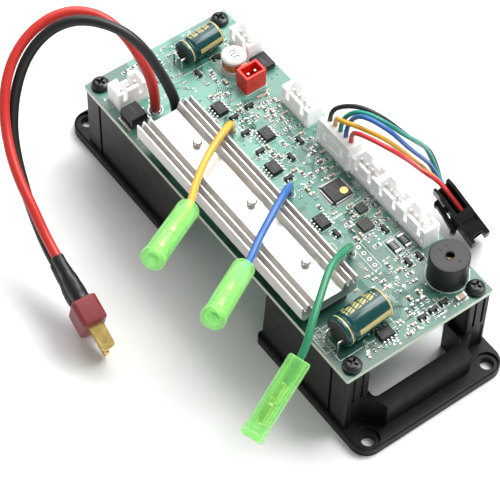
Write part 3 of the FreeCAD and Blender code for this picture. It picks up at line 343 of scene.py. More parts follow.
def cbox(bm, c, s, ch=0.08, rot=0.0, m=None):
    """Chamfered block: centre c, size s, turned by rot degrees about Z, or placed by matrix m."""
    hx, hy, hz = (v / 2 for v in s)
    ch = min(ch, hx * 0.45, hy * 0.45, hz * 0.45)
    rings = []
    t = (m if m is not None else Matrix.Identity(4)) @ Matrix.Translation(Vector(c)) @ Matrix.Rotation(math.radians(rot), 4, "Z")
    for z, k in ((-hz, ch), (-hz + ch, 0), (hz - ch, 0), (hz, ch)):
        x, y = hx - k, hy - k
        q = [(x, -y + ch), (x, y - ch), (x - ch, y), (-x + ch, y), (-x, y - ch), (-x, -y + ch), (-x + ch, -y), (x - ch, -y)]
        rings.append([bm.verts.new(t @ Vector((a, b, z))) for a, b in q])
    for r0, r1 in zip(rings, rings[1:]):
        for i in range(8):
            bm.faces.new((r0[i], r0[(i + 1) % 8], r1[(i + 1) % 8], r1[i]))
    bm.faces.new(list(reversed(rings[0])))
    bm.faces.new(rings[-1])


def lathe(bm, prof, m, seg=32, close=False):
    """Turns (radius, height) points about the local Z axis of m."""
    rings = []
    for r, h in prof:
        if r < 1e-6:
            rings.append([bm.verts.new(m @ Vector((0, 0, h)))])
        else:
            rings.append([bm.verts.new(m @ Vector((r * math.cos(2 * math.pi * i / seg), r * math.sin(2 * math.pi * i / seg), h))) for i in range(seg)])
    pairs = list(zip(rings, rings[1:])) + ([(rings[-1], rings[0])] if close else [])
    for a, b in pairs:
        if len(a) == 1 and len(b) == 1:
            continue
        for i in range(seg):
            j = (i + 1) % seg
            if len(a) == 1:
                bm.faces.new((a[0], b[j], b[i]))
            elif len(b) == 1:
                bm.faces.new((a[i], a[j], b[0]))
            else:
                bm.faces.new((a[i], a[j], b[j], b[i]))


def quad(bm, x0, y0, x1, y1, z):
    v = [bm.verts.new((x0, y0, z)), bm.verts.new((x1, y0, z)), bm.verts.new((x1, y1, z)), bm.verts.new((x0, y1, z))]
    bm.faces.new(v)


def slab(bm, pts, z, t=0.02):
    """Flat polygon with a little thickness, so it also exists from the side."""
    lo = [bm.verts.new((x, y, z)) for x, y in pts]
    hi = [bm.verts.new((x, y, z + t)) for x, y in pts]
    n = len(pts)
    bm.faces.new(hi)
    for i in range(n):
        bm.faces.new((lo[i], lo[(i + 1) % n], hi[(i + 1) % n], hi[i]))


def strip(bm, a, b, w, z, t=0.02):
    d = Vector((b[0] - a[0], b[1] - a[1]))
    if d.length < 1e-6:
        return
    n = Vector((-d.y, d.x)).normalized() * w / 2
    e = d.normalized() * w / 2
    slab(bm, [(a[0] - e.x + n.x, a[1] - e.y + n.y), (a[0] - e.x - n.x, a[1] - e.y - n.y), (b[0] + e.x - n.x, b[1] + e.y - n.y), (b[0] + e.x + n.x, b[1] + e.y + n.y)], z, t)


def disc(bm, x, y, r, z, t=0.02, seg=20):
    slab(bm, [(x + r * math.cos(2 * math.pi * i / seg), y + r * math.sin(2 * math.pi * i / seg)) for i in range(seg)], z, t)


def annulus(bm, x, y, r0, r1, z, t=0.02, seg=24):
    for i in range(seg):
        a, b = 2 * math.pi * i / seg, 2 * math.pi * (i + 1) / seg
        slab(bm, [(x + r0 * math.cos(a), y + r0 * math.sin(a)), (x + r1 * math.cos(a), y + r1 * math.sin(a)),
                  (x + r1 * math.cos(b), y + r1 * math.sin(b)), (x + r0 * math.cos(b), y + r0 * math.sin(b))], z, t)


def frame_rect(bm, x0, y0, x1, y1, w, z):
    strip(bm, (x0, y0), (x1, y0), w, z)
    strip(bm, (x0, y1), (x1, y1), w, z)
    strip(bm, (x0, y0), (x0, y1), w, z)
    strip(bm, (x1, y0), (x1, y1), w, z)


def axes(o, a, h):
    """Matrix whose X is a, Z is h made square to it, at o (millimetres)."""
    a = Vector(a).normalized()
    w = Vector(h).cross(a).normalized()
    h = a.cross(w)
    return Matrix(((a.x, w.x, h.x, o[0]), (a.y, w.y, h.y, o[1]), (a.z, w.z, h.z, o[2]), (0, 0, 0, 1)))


def along(o, d):
    """Matrix whose Z is d, at o."""
    d = Vector(d).normalized()
    return Matrix.Translation(Vector(o)) @ d.to_track_quat("Z", "Y").to_matrix().to_4x4()


def islands(node):
    """Boxes of a node's separate solids, in millimetres."""
    bm = bmesh.new()
    bm.from_mesh(NODES[node].data)
    bmesh.ops.remove_doubles(bm, verts=bm.verts, dist=1e-6)
    seen, out = set(), []
    for v in bm.verts:
        if v.index in seen:
            continue
        todo, lo, hi = [v], Vector(v.co), Vector(v.co)
        seen.add(v.index)
        while todo:
            u = todo.pop()
            for k in range(3):
                lo[k] = min(lo[k], u.co[k])
                hi[k] = max(hi[k], u.co[k])
            for e in u.link_edges:
                o = e.other_vert(u)
                if o.index not in seen:
                    seen.add(o.index)
                    todo.append(o)
        out.append((lo * 1000, hi * 1000))
    bm.free()
    return sorted(out, key=lambda q: (round(q[0].x, 3), round(q[0].y, 3), round(q[0].z, 3)))


def dress(node, mat):
    ob = NODES[node]
    if not ob.material_slots:
        ob.data.materials.append(M[mat])
    for s in ob.material_slots:
        s.material = M[mat]


for node, mat in {
    "mounting_bracket": "bracket", "circuit_board": "board", "board_screws": "black_screw", "heatsink_screws": "steel", "heatsink_nuts": "steel",
    "heatsink": "alu", "thermal_pad": "pad", "mosfet_bodies": "chip", "mosfet_tabs_and_leads": "tin", "gate_driver_bodies": "chip", "gate_driver_leads": "tin",
    "microcontroller_body": "chip_grey", "microcontroller_leads": "tin", "leadless_chips": "chip_grey", "transistor_bodies": "chip", "transistor_leads": "tin",
    "power_transistor_bodies": "chip", "power_transistor_leads": "tin", "sense_resistors": "glaze", "chip_resistors": "glaze", "chip_capacitors": "ceramic",
    "capacitor_cans": "can_end", "capacitor_bungs": "bung", "capacitor_legs": "tin", "inductor_core": "ferrite", "inductor_winding": "copper",
    "buzzer_housing": "buzzer", "buzzer_element": "gold", "signal_headers": "nylon", "charge_header": "red_nylon", "power_switch_header": "nylon",
    "header_pins": "tin", "harness_plug": "nylon", "harness_connector": "connector", "latch_lever": "connector", "harness_contacts": "gold",
    "harness_wire_black": "black_wire", "harness_wire_yellow": "yellow_wire", "harness_wire_green": "teal_wire", "harness_wire_blue": "blue_wire",
    "harness_wire_red": "red_pvc", "battery_plug_body": "plug", "battery_plug_blades": "gold", "lead_shrink_sleeves": "shrink", "battery_lead_red": "red_wire",
    "battery_lead_black": "black_wire", "phase_lead_yellow": "yellow_wire", "phase_lead_blue": "blue_wire", "phase_lead_green": "green_wire",
    "bullet_contacts": "brass", "sleeve_yellow": "sleeve", "sleeve_blue": "sleeve", "sleeve_green": "sleeve",
}.items():
    dress(node, mat)

blo, bhi = (Vector(v) * 1000 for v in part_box("circuit_board"))
P = bhi.z
UNDER = blo.z

# ------------------------------------------------------------------ free cords
HC = axes((21.95, 45.14, 14.2), (0.927, 0.056, -0.363), (0.358, -0.363, 0.861))
TP = axes((-10.1, -65.2, 11.6), (0.942, -0.07, -0.328), (0.322, -0.086, 0.943))


def hc(x, y, z):
    return tuple(HC @ Vector((x, y, z)))


def tp(x, z):
    return tuple(TP @ Vector((x, 0, z)))


def nurbs(name, pts, d, mat, node):
    cu = bpy.data.curves.new(name, "CURVE")
    cu.dimensions = "3D"
    sp = cu.splines.new("NURBS")
    sp.points.add(len(pts) - 1)
    for p, c in zip(sp.points, pts):
        p.co = (c[0] * MM, c[1] * MM, c[2] * MM, 1)
    sp.order_u = 3
    sp.use_endpoint_u = True
    sp.resolution_u = 12
    cu.bevel_depth = d * MM / 2
    cu.bevel_resolution = 6
    cu.use_fill_caps = True
    ob = bpy.data.objects.new(name, cu)
    scene.collection.objects.link(ob)
    cu.materials.append(M[mat])
    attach(ob, BASE)
    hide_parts(node)
    return ob


def curve_length(ob):
    me = bpy.data.meshes.new_from_object(ob)
    # sum of the bevelled tube's face areas
    a = sum(p.area for p in me.polygons)
    return a


RED = [(-44.7, -14.0, P), (-44.7, -14.0, 36.6), (-46.5, -14.4, 43.4), (-50.7, -15.1, 49.4), (-57.1, -16.0, 54.0), (-63.8, -18.7, 57.2),
       (-69.0, -23.9, 58.7), (-71.9, -30.5, 58.2), (-72.6, -38.2, 55.7), (-70.7, -45.5, 52.1), (-66.9, -51.4, 47.7), (-62.0, -55.7, 42.8),
       (-56.4, -58.7, 38.4), (-50.1, -61.1, 35.0), (-43.6, -62.6, 31.6), (-37.3, -63.2, 28.1), tp(-21.0, 3.45), tp(-15.0, 3.45)]
BLK = [(-38.4, -10.7, P), (-38.4, -10.7, 36.0), (-39.9, -11.8, 42.5), (-43.2, -13.5, 49.6), (-47.8, -15.4, 55.9), (-52.7, -18.1, 60.0),
       (-58.2, -22.4, 62.1), (-63.3, -27.1, 61.9), (-66.7, -32.6, 59.9), (-67.9, -38.6, 56.4), (-67.3, -44.1, 51.6), (-65.1, -48.8, 46.1),
       (-61.4, -53.1, 40.5), (-56.8, -56.4, 35.4), (-51.6, -58.6, 30.6), (-46.0, -60.4, 26.6), (-40.7, -61.9, 23.2), tp(-21.0, -3.45), tp(-15.0, -3.45)]
LEAD_D, PHASE_D, WIRE_D = 3.2, 2.3, 1.5
red_lead = nurbs("red_battery_lead", RED, LEAD_D, "red_wire", "battery_lead_red")
black_lead = nurbs("black_battery_lead", BLK, LEAD_D, "black_wire", "battery_lead_black")

PHASE = {
    "yellow": ((0.69, -33.94, 45.53), (0.48717, -0.83494, 0.25601),
               [(-24.7, -0.2, P), (-24.7, -0.2, 32.8), (-18.1, -6.3, 44.0), (-13.9, -16.8, 42.5), (-6.4, -26.7, 43.7), (-0.9, -32.2, 44.8)]),
    "blue": ((25.99, -33.31, 45.13), (0.51725, -0.79432, 0.3186),
             [(4.1, -0.3, P), (4.1, -0.3, 32.8), (8.9, -4.7, 42.5), (14.9, -14.7, 44.3), (19.9, -24.2, 42.9), (24.3, -30.2, 42.9)]),
    "green": ((55.77, -35.86, 38.44), (0.25854, -0.84079, -0.47564),
              [(31.3, 1.0, P), (31.3, 1.0, 32.8), (35.4, -3.4, 41.1), (39.0, -12.9, 45.3), (46.0, -22.1, 44.2), (50.8, -28.6, 42.6), (54.5, -33.1, 40.2)]),
}
BASES = [v[2][0][:2] for v in PHASE.values()]
SLEEVE_L, SLEEVE_R, BORE = 25.6, 3.45, 2.35
for col, (s, d, bends) in PHASE.items():
    S, D = Vector(s), Vector(d).normalized()
    nurbs("phase_wire_" + col, bends + [tuple(S + D * 2.5), tuple(S + D * 8.0)], PHASE_D, col + "_wire", "phase_lead_" + col)
    # bullet contact on the lead's end
    bm = bmesh.new()
    prof = [(0, 0), (1.5, 0), (1.72, 0.25), (1.75, 0.7), (1.75, 4.8), (1.62, 5.1), (1.2, 5.5), (1.15, 6.3), (1.6, 6.7), (1.78, 7.1), (1.85, 8.4), (1.85, 10.2),
            (1.76, 11.8), (1.5, 12.6), (1.1, 13.0), (0.6, 13.17), (0, 13.2)]
    mt = along(S + D * 8.0, D)
    lathe(bm, prof, mt, 40)
    for k in range(6):                     # spring leaves round the bulge
        a = k * math.pi / 3
        cbox(bm, (1.72 * math.cos(a), 1.72 * math.sin(a), 9.3), (0.34, 0.55, 4.2), 0.12, math.degrees(a), mt)
    bullet = piece("bullet_" + col, bm, M["brass"], replaces=("bullet_contacts",))
    # the sleeve: a moulded tube with a stepped neck, a seam and a rolled mouth
    bm = bmesh.new()
    L, R = SLEEVE_L, SLEEVE_R
    mt = along(S, D)
    lathe(bm, [(BORE, 0.3), (BORE + 0.2, 0.06), (R - 0.55, 0.0), (R - 0.3, 0.12), (R - 0.06, 0.5), (R, 1.0), (R, 3.0), (R - 0.06, 3.2), (R - 0.06, 3.5), (R, 3.7), (R, L - 4.7),
               (R - 0.2, L - 4.3), (R - 0.22, L - 3.9), (R - 0.15, L - 3.6), (R + 0.05, L - 3.3), (R + 0.05, L - 2.7), (R - 0.08, L - 2.45), (R - 0.1, L - 2.25), (R + 0.1, L - 1.95),
               (R + 0.28, L - 1.6), (R + 0.3, L - 0.7), (R + 0.24, L - 0.3), (R, L), (BORE + 0.4, L), (BORE + 0.1, L - 0.15), (BORE, L - 0.6), (BORE, L - 12.0), (BORE, 6.0)], mt, 64, close=True)
    for a in (40, 220):                    # mould seams
        c = math.radians(a)
        cbox(bm, ((R + 0.0) * math.cos(c), (R + 0.0) * math.sin(c), L / 2 - 0.9), (0.12, 0.3, L - 9.5), 0.05, a, mt)
    piece("vinyl_sleeve_" + col, bm, M["sleeve"], body=col + "_sleeve", replaces=("sleeve_" + col,))

WIRES = {
    "black": [(-4.95, 21.0, 39.6), (-4.95, 21.0, 44.2), (-1.0, 23.1, 48.6), (3.1, 26.2, 49.7), (8.5, 30.1, 47.1), (11.7, 33.9, 42.0), (12.3, 38.1, 35.6),
              (11.2, 42.9, 28.5), (11.2, 46.6, 23.6), (13.3, 48.5, 17.4), hc(-2.0, 0.7, -5.0), hc(8.0, 0.7, -5.0)],
    "yellow": [(-2.45, 21.0, 39.6), (-2.45, 21.0, 43.4), (1.4, 19.0, 47.2), (7.6, 21.6, 48.4), (12.8, 27.2, 44.2), (14.6, 32.0, 37.4), (14.6, 36.1, 30.9),
               (15.4, 39.6, 25.3), (18.3, 42.8, 20.5), hc(-2.0, 0.7, 2.5), hc(8.0, 0.7, 2.5)],
    "green": [(0.05, 21.0, 39.6), (0.05, 21.0, 44.5), (2.0, 23.4, 48.5), (5.8, 25.7, 50.0), (11.3, 29.2, 48.1), (14.1, 32.9, 43.5), (14.2, 37.1, 38.0),
              (13.4, 41.2, 32.3), (12.7, 44.8, 25.9), (14.5, 46.8, 18.9), hc(-2.0, 0.7, -2.5), hc(8.0, 0.7, -2.5)],
    "blue": [(2.55, 21.0, 39.6), (2.55, 21.0, 44.6), (4.4, 22.8, 49.8), (9.4, 24.0, 52.2), (15.4, 27.4, 49.6), (17.8, 31.2, 43.1), (18.0, 35.1, 37.0),
             (17.0, 39.5, 30.0), (15.7, 43.8, 22.7), hc(-2.0, 0.7, 0.0), hc(8.0, 0.7, 0.0)],
    "red": [(5.05, 21.0, 39.6), (5.05, 21.0, 43.6), (8.8, 20.0, 48.0), (13.7, 21.0, 49.6), (19.2, 24.5, 47.5), (21.6, 28.3, 43.0), (21.0, 32.4, 36.5),
            (18.9, 36.5, 29.3), (18.7, 40.2, 23.8), hc(-2.0, 0.7, 5.0), hc(8.0, 0.7, 5.0)],
}
WIRE_MAT = {"black": "black_wire", "yellow": "yellow_wire", "green": "teal_wire", "blue": "blue_wire", "red": "red_pvc"}
for col, pts in WIRES.items():
    w = nurbs("harness_strand_" + col, pts, WIRE_D, WIRE_MAT[col], "harness_wire_" + col)

# ------------------------------------------------------------------ battery plug and its shrink sleeves
bm = bmesh.new()


def loft(bm, secs, m):
    """Skins a run of equal-sided sections [(x, [(y, z), ...]), ...] in the frame m and caps the ends."""
    rings = [[bm.verts.new(m @ Vector((x, y, z))) for y, z in pts] for x, pts in secs]
    n = len(rings[0])
    for a, b in zip(rings, rings[1:]):
        for i in range(n):
            bm.faces.new((a[i], a[(i + 1) % n], b[(i + 1) % n], b[i]))
    bm.faces.new(list(reversed(rings[0])))
    bm.faces.new(rings[-1])


def plug_sec(k):
    hy, hz, c = 3.9 - k, 7.2 - k, 1.15
    return [(hy, -hz + c), (hy, hz - c), (hy - c, hz), (-hy + c, hz), (-hy, hz - c), (-hy, -hz + c), (-hy + c, -hz), (hy - c, -hz)]


loft(bm, [(0, plug_sec(0.45)), (0.35, plug_sec(0.1)), (0.8, plug_sec(0)), (3.0, plug_sec(0.0)), (5.2, plug_sec(0)), (7.4, plug_sec(0)), (7.9, plug_sec(0.12)), (8.2, plug_sec(0.5))], TP)
for z in (3.4, -3.4):                      # raised lands around the blade slots
    cbox(bm, (8.25, 0, z), (0.3, 5.6, 5.4), 0.1, 0, TP)
plug = piece("battery_plug_shell", bm, M["plug"], replaces=("battery_plug_body",), angle=25)
bm = bmesh.new()


def blade(bm, half_w, half_t, zc, flat):
    """Rounded-tip blade, flat one lies across, the other stands."""
    secs = []
    for x, k in ((8.2, 1.0), (14.9, 1.0), (15.7, 0.93), (16.15, 0.78), (16.4, 0.5)):
        a, b = half_w * k, half_t * (0.6 + 0.4 * k)
        c = min(0.22, b * 0.5)
        p = [(a, -b + c), (a, b - c), (a - c, b), (-a + c, b), (-a, b - c), (-a, -b + c), (-a + c, -b), (a - c, -b)]
        secs.append((x, [(y, z + zc) for y, z in p] if flat else [(z, y + zc) for y, z in reversed(p)]))
    loft(bm, secs, TP)


blade(bm, 2.3, 0.8, 3.4, True)
blade(bm, 2.1, 0.8, -3.5, False)
cbox(bm, (13.4, 0, 4.17), (3.4, 0.5, 0.14), 0.05, 0, TP)      # spring rib along the flat blade
blades = piece("battery_plug_contacts", bm, M["gold"], replaces=("battery_plug_blades",), angle=30)
for k, z in (("a", 3.45), ("b", -3.45)):
    bm = bmesh.new()
    prof = [(1.62, 15.0), (1.95, 14.8), (1.98, 13.0), (2.02, 11.6), (2.18, 9.6), (2.14, 9.2), (2.34, 7.6), (2.62, 5.9), (2.56, 5.4), (2.72, 4.2), (2.74, 2.2), (2.62, 1.6), (2.7, 0.9),
            (2.7, 0.0), (1.4, 0.0)]
    rings = []
    seg = 40
    for r, h in prof:
        ring = []
        for i in range(seg):
            a = 2 * math.pi * i / seg
            rr = r + (0.07 * math.sin(3 * a + h * 0.9) + 0.05 * math.sin(5 * a - h * 1.7)) * (1 if 0.5 < h < 14 else 0.2)
            rr = min(rr, 2.75)
            ring.append(bm.verts.new(TP @ Vector((-h, rr * math.cos(a), z + rr * math.sin(a)))))
        rings.append(ring)
    for a, b in zip(rings, rings[1:]):
        for i in range(seg):
            bm.faces.new((a[i], a[(i + 1) % seg], b[(i + 1) % seg], b[i]))
    bm.faces.new(rings[0])
    bm.faces.new(list(reversed(rings[-1])))
    piece("lead_shrink_" + k, bm, M["shrink"], replaces=("lead_shrink_sleeves",), angle=50)

# ------------------------------------------------------------------ board print, pads and tracks
Z_TRACK, Z_PAD, Z_SILK = P + 0.004, P + 0.016, P + 0.02
hi_tr, lo_tr, pads, silk = bmesh.new(), bmesh.new(), bmesh.new(), bmesh.new()
HS = [v * 1000 for v in (Vector(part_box("heatsink")[0]), Vector(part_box("heatsink")[1]))]
X0, X1, Y0, Y1 = blo.x + 0.8, bhi.x - 0.8, blo.y + 0.8, bhi.y - 0.8
HOLES = [((lo.x + hi.x) / 2, (lo.y + hi.y) / 2) for lo, hi in islands("board_screws")]


def free(x, y, r=0.0):
    if not (X0 + r < x < X1 - r and Y0 + r < y < Y1 - r):
        return False
    for hx, hy in HOLES:
        if (x - hx) ** 2 + (y - hy) ** 2 < 4.0 ** 2:
            return False
    return True


# tracks: bundles of parallel 45-degree lines between vias
for n in range(150):
    x, y = rnd.uniform(X0, X1), rnd.uniform(-6.5, Y1)
    if n % 5 == 0:
        x, y = rnd.uniform(-64, -37), rnd.uniform(Y0, Y1)
    if n % 6 == 0:
        x, y = rnd.uniform(45, 64), rnd.uniform(Y0, Y1)
    a = rnd.choice((0, 45, 90, 135, 180, 225, 270, 315))
    cnt = rnd.choice((1, 2, 3, 5, 8))
    pitch = rnd.choice((0.42, 0.5, 0.62))
    legs = [(rnd.uniform(2.0, 9.0), rnd.choice((-45, 45)))] + [(rnd.uniform(1.5, 6.0), rnd.choice((-45, 45, 0))) for _ in range(rnd.choice((1, 2)))]
    dark = rnd.random() < 0.55
    for k in range(cnt):
        ang = a
        nx, ny = -math.sin(math.radians(a)), math.cos(math.radians(a))
        px, py = x + nx * k * pitch, y + ny * k * pitch
        for ln, turn in legs:
            qx, qy = px + ln * math.cos(math.radians(ang)), py + ln * math.sin(math.radians(ang))
            if not (free(px, py) and free(qx, qy)):
                break
            strip(lo_tr if dark else hi_tr, (px, py), (qx, qy), 0.17, Z_TRACK, 0.008)
            px, py = qx, qy
            ang += turn
        if free(px, py) and k % 2 == 0:
            annulus(pads, px, py, 0.14, 0.3, Z_TRACK + 0.01, 0.008, 10)
# stitching vias
for n in range(210):
    x, y = rnd.uniform(X0, X1), rnd.uniform(-6.8, Y1)
    if n % 3 == 0:
        x, y = (rnd.uniform(44, 64), rnd.uniform(Y0, Y1)) if n % 2 else (rnd.uniform(-64, -36), rnd.uniform(Y0, 0))
    if free(x, y):
        disc(lo_tr, x, y, 0.22, Z_TRACK + 0.002, 0.008, 8)
        annulus(hi_tr, x, y, 0.22, 0.36, Z_TRACK + 0.002, 0.008, 8)


def gullpads(leads, bodies, w_extra=0.12, out=0.35):
    cs = [((lo.x + hi.x) / 2, (lo.y + hi.y) / 2) for lo, hi in islands(bodies)]
    for lo, hi in islands(leads):
        cx, cy = (lo.x + hi.x) / 2, (lo.y + hi.y) / 2
        bx, by = min(cs, key=lambda c: (c[0] - cx) ** 2 + (c[1] - cy) ** 2)
        if hi.x - lo.x > hi.y - lo.y:
            s = 1 if cx > bx else -1
            e = hi.x if s > 0 else lo.x
            a, b = sorted((e - s * 0.55, e + s * out))
            cbox(pads, ((a + b) / 2, cy, Z_PAD), (b - a, hi.y - lo.y + w_extra, 0.05), 0.02)
            fil.append((e, cy, s, 0, hi.y - lo.y))
        else:
            s = 1 if cy > by else -1
            e = hi.y if s > 0 else lo.y
            a, b = sorted((e - s * 0.55, e + s * out))
            cbox(pads, (cx, (a + b) / 2, Z_PAD), (hi.x - lo.x + w_extra, b - a, 0.05), 0.02)
            fil.append((cx, e, 0, s, hi.x - lo.x))


fil = []
gullpads("gate_driver_leads", "gate_driver_bodies")
gullpads("microcontroller_leads", "microcontroller_body", 0.04, 0.3)
gullpads("transistor_leads", "transistor_bodies", 0.3, 0.3)


def silk_mark(x, y, n, ang=0.0, h=0.9):
    """A few short print strokes, no letters."""
    for i in range(n):
        px, py = x + i * 0.62 * math.cos(ang), y + i * 0.62 * math.sin(ang)
        if not free(px, py):
            continue
        k = rnd.choice((0, 1, 2))
        ux, uy = -math.sin(ang), math.cos(ang)
        strip(silk, (px, py), (px + ux * h, py + uy * h), 0.13, Z_SILK)
        if k:
            strip(silk, (px, py + (h * uy if k == 1 else 0)), (px + 0.36 * math.cos(ang), py + (h * uy if k == 1 else 0) + 0.36 * math.sin(ang)), 0.13, Z_SILK)


# print outlines round the packages
for node, g, w in (("gate_driver_bodies", 1.25, 0.2), ("microcontroller_body", 1.35, 0.2), ("leadless_chips", 0.45, 0.16), ("transistor_bodies", 0.7, 0.13), ("sense_resistors", 0.9, 0.18)):
    for lo, hi in islands(node):
        lx, ly = hi.x - lo.x, hi.y - lo.y
        if node == "gate_driver_bodies":
            if lx > ly:
                frame_rect(silk, lo.x - 0.3, lo.y - 0.2, hi.x + 0.3, hi.y + 0.2, w, Z_SILK)
            else:
                frame_rect(silk, lo.x - 0.2, lo.y - 0.3, hi.x + 0.2, hi.y + 0.3, w, Z_SILK)
            disc(silk, lo.x - 0.9, lo.y - 1.1, 0.28, Z_SILK)
            silk_mark(lo.x, hi.y + 1.9, 3)
        elif node == "microcontroller_body":
            for sx in (-1, 1):
                for sy in (-1, 1):
                    cx, cy = (lo.x + hi.x) / 2 + sx * (lx / 2 + 0.25), (lo.y + hi.y) / 2 + sy * (ly / 2 + 0.25)
                    strip(silk, (cx, cy), (cx - sx * 0.7, cy), w, Z_SILK)
                    strip(silk, (cx, cy), (cx, cy - sy * 0.7), w, Z_SILK)
        else:
            frame_rect(silk, lo.x - g, lo.y - g * 0.6, hi.x + g, hi.y + g * 0.6, w, Z_SILK)
            if node == "transistor_bodies":
                silk_mark(hi.x + 1.3, lo.y, 2, 0.0, 0.8)
for node, g in (("signal_headers", 0.25), ("charge_header", 0.35), ("power_switch_header", 0.3)):
    for lo, hi in islands(node):
        x0, y0, x1, y1 = max(lo.x - g, X0), max(lo.y - g, Y0), min(hi.x + g, X1), min(hi.y + g, Y1 + 0.5)
        frame_rect(silk, x0, y0, x1, y1, 0.2, Z_SILK)
        silk_mark((x0 + x1) / 2 - 1.5, y0 - 1.25, 4, 0.0, 0.8)
for lo, hi in islands("buzzer_housing"):
    annulus(silk, (lo.x + hi.x) / 2, (lo.y + hi.y) / 2, 6.35, 6.6, Z_SILK, 0.02, 40)
for lo, hi in islands("inductor_core"):
    annulus(silk, (lo.x + hi.x) / 2, (lo.y + hi.y) / 2, 4.15, 4.35, Z_SILK, 0.02, 36)
for lo, hi in islands("capacitor_cans"):
    frame_rect(silk, lo.x - 0.4, lo.y - 2.6, hi.x + 0.4, hi.y + 0.4, 0.2, Z_SILK)

# four spare plated holes with their printed box
SPARE = [(30.9, 4.2), (33.45, 4.2), (36.0, 4.2), (38.55, 4.2)]
frame_rect(silk, 29.4, 2.8, 40.1, 5.6, 0.17, Z_SILK)
for x, y in SPARE:
    annulus(pads, x, y, 0.4, 0.64, Z_PAD, 0.03, 24)
silk_mark(31.0, 0.6, 5, 0.0, 1.1)
silk_mark(35.5, 0.4, 5, 0.0, 1.1)
# hatched corner field and generic fiducials
for i in range(9):
    strip(silk, (46.4 + i * 0.62, -25.3), (48.8 + i * 0.62, -22.2), 0.16, Z_SILK)
frame_rect(silk, 46.0, -25.5, 54.4, -22.0, 0.2, Z_SILK)
for x, y in ((45.6, 6.6), (47.2, 5.2), (49.0, 6.4), (46.6, 3.4), (-62.6, 20.0), (60.5, -15.5)):
    annulus(pads, x, y, 0.28, 0.52, Z_PAD, 0.02, 20)
    disc(silk, x + 1.0, y, 0.2, Z_SILK)
for x, y, n in ((46.5, -4.6, 4), (49.5, 0.6, 5), (56.2, 13.2, 3), (-62.5, 0.0, 3), (-52.0, -4.0, 4), (-58.5, -6.4, 3), (-31.0, -4.6, 5), (-8.0, -4.4, 4), (14.0, -4.2, 5),
                (26.0, -4.4, 4), (-38.5, -2.0, 3), (20.0, -2.8, 3), (57.0, -14.6, 3), (60.2, -11.0, 3), (-16.0, 11.2, 3), (-4.0, 11.4, 4), (-62.0, 10.2, 2)):
    silk_mark(x, y, n)
for x, y in ((-42.2, -5.4), (-30.0, -1.2), (1.8, -1.6), (26.5, -1.8), (-24.6, -2.4)):
    frame_rect(silk, x - 1.3, y - 0.8, x + 1.3, y + 0.8, 0.16, Z_SILK)

# ------------------------------------------------------------------ chip resistors and capacitors, with wrapped ends and solder
rb, rg, cb, term, sold = bmesh.new(), bmesh.new(), bmesh.new(), bmesh.new(), bmesh.new()


def wedge(bm, x, y, dx, dy, w, h, reach):
    """Solder fillet climbing an end face at (x, y), leaning out along (dx, dy)."""
    n = (-dy, dx)
    a = w / 2
    v = [(x + n[0] * a, y + n[1] * a, P), (x - n[0] * a, y - n[1] * a, P),
         (x + dx * reach - n[0] * a * 0.9, y + dy * reach - n[1] * a * 0.9, P + 0.02), (x + dx * reach + n[0] * a * 0.9, y + dy * reach + n[1] * a * 0.9, P + 0.02),
         (x + n[0] * a * 0.9, y + n[1] * a * 0.9, P + h), (x - n[0] * a * 0.9, y - n[1] * a * 0.9, P + h),
         (x + dx * reach * 0.35 - n[0] * a * 0.85, y + dy * reach * 0.35 - n[1] * a * 0.85, P + h * 0.42),
         (x + dx * reach * 0.35 + n[0] * a * 0.85, y + dy * reach * 0.35 + n[1] * a * 0.85, P + h * 0.42)]
    q = [bm.verts.new(p) for p in v]
    for f in ((4, 5, 6, 7), (7, 6, 2, 3), (0, 4, 7), (0, 7, 3), (1, 6, 5), (1, 2, 6), (0, 1, 5, 4)):
        bm.faces.new([q[i] for i in f])


def chips(node, glaze):
    for lo, hi in islands(node):
        cx, cy, sx, sy = (lo.x + hi.x) / 2, (lo.y + hi.y) / 2, hi.x - lo.x, hi.y - lo.y
        h = hi.z - P
        ln, w, ang = (sx, sy, 0.0) if sx > sy else (sy, sx, 90.0)
        dx, dy = (1, 0) if ang == 0 else (0, 1)
        e = 0.2 * ln
        body = rb if glaze else cb
        cbox(body, (cx, cy, P + h / 2 + 0.02), (ln - 2 * e * 0.6, w * 0.94, h * 0.9), 0.05, ang)
        if glaze:
            cbox(rg, (cx, cy, P + h * 0.95), (ln - 2 * e, w * 0.86, h * 0.12), 0.02, ang)
        for s in (-1, 1):
            c = (ln / 2 - e / 2) * s
            cbox(term, (cx + dx * c, cy + dy * c, P + h / 2 + 0.01), (e, w, h * 1.0), 0.05, ang)
            ex, ey = cx + dx * ln / 2 * s, cy + dy * ln / 2 * s
            wedge(sold, ex, ey, dx * s, dy * s, w * 1.02, h * 0.72, 0.36)
            px, py = cx + dx * (ln / 2 + 0.1) * s, cy + dy * (ln / 2 + 0.1) * s
            cbox(pads, (px, py, Z_PAD), (0.8 if dx else w + 0.2, w + 0.2 if dx else 0.8, 0.04), 0.01)
        if rnd.random() < 0.55:
            g = 0.28
            if dx:
                strip(silk, (cx - ln / 2 - 0.5, cy - w / 2 - g), (cx + ln / 2 + 0.5, cy - w / 2 - g), 0.12, Z_SILK)
                strip(silk, (cx - ln / 2 - 0.5, cy + w / 2 + g), (cx + ln / 2 + 0.5, cy + w / 2 + g), 0.12, Z_SILK)
            else:
                strip(silk, (cx - w / 2 - g, cy - ln / 2 - 0.5), (cx - w / 2 - g, cy + ln / 2 + 0.5), 0.12, Z_SILK)
                strip(silk, (cx + w / 2 + g, cy - ln / 2 - 0.5), (cx + w / 2 + g, cy + ln / 2 + 0.5), 0.12, Z_SILK)


chips("chip_resistors", True)
chips("chip_capacitors", False)

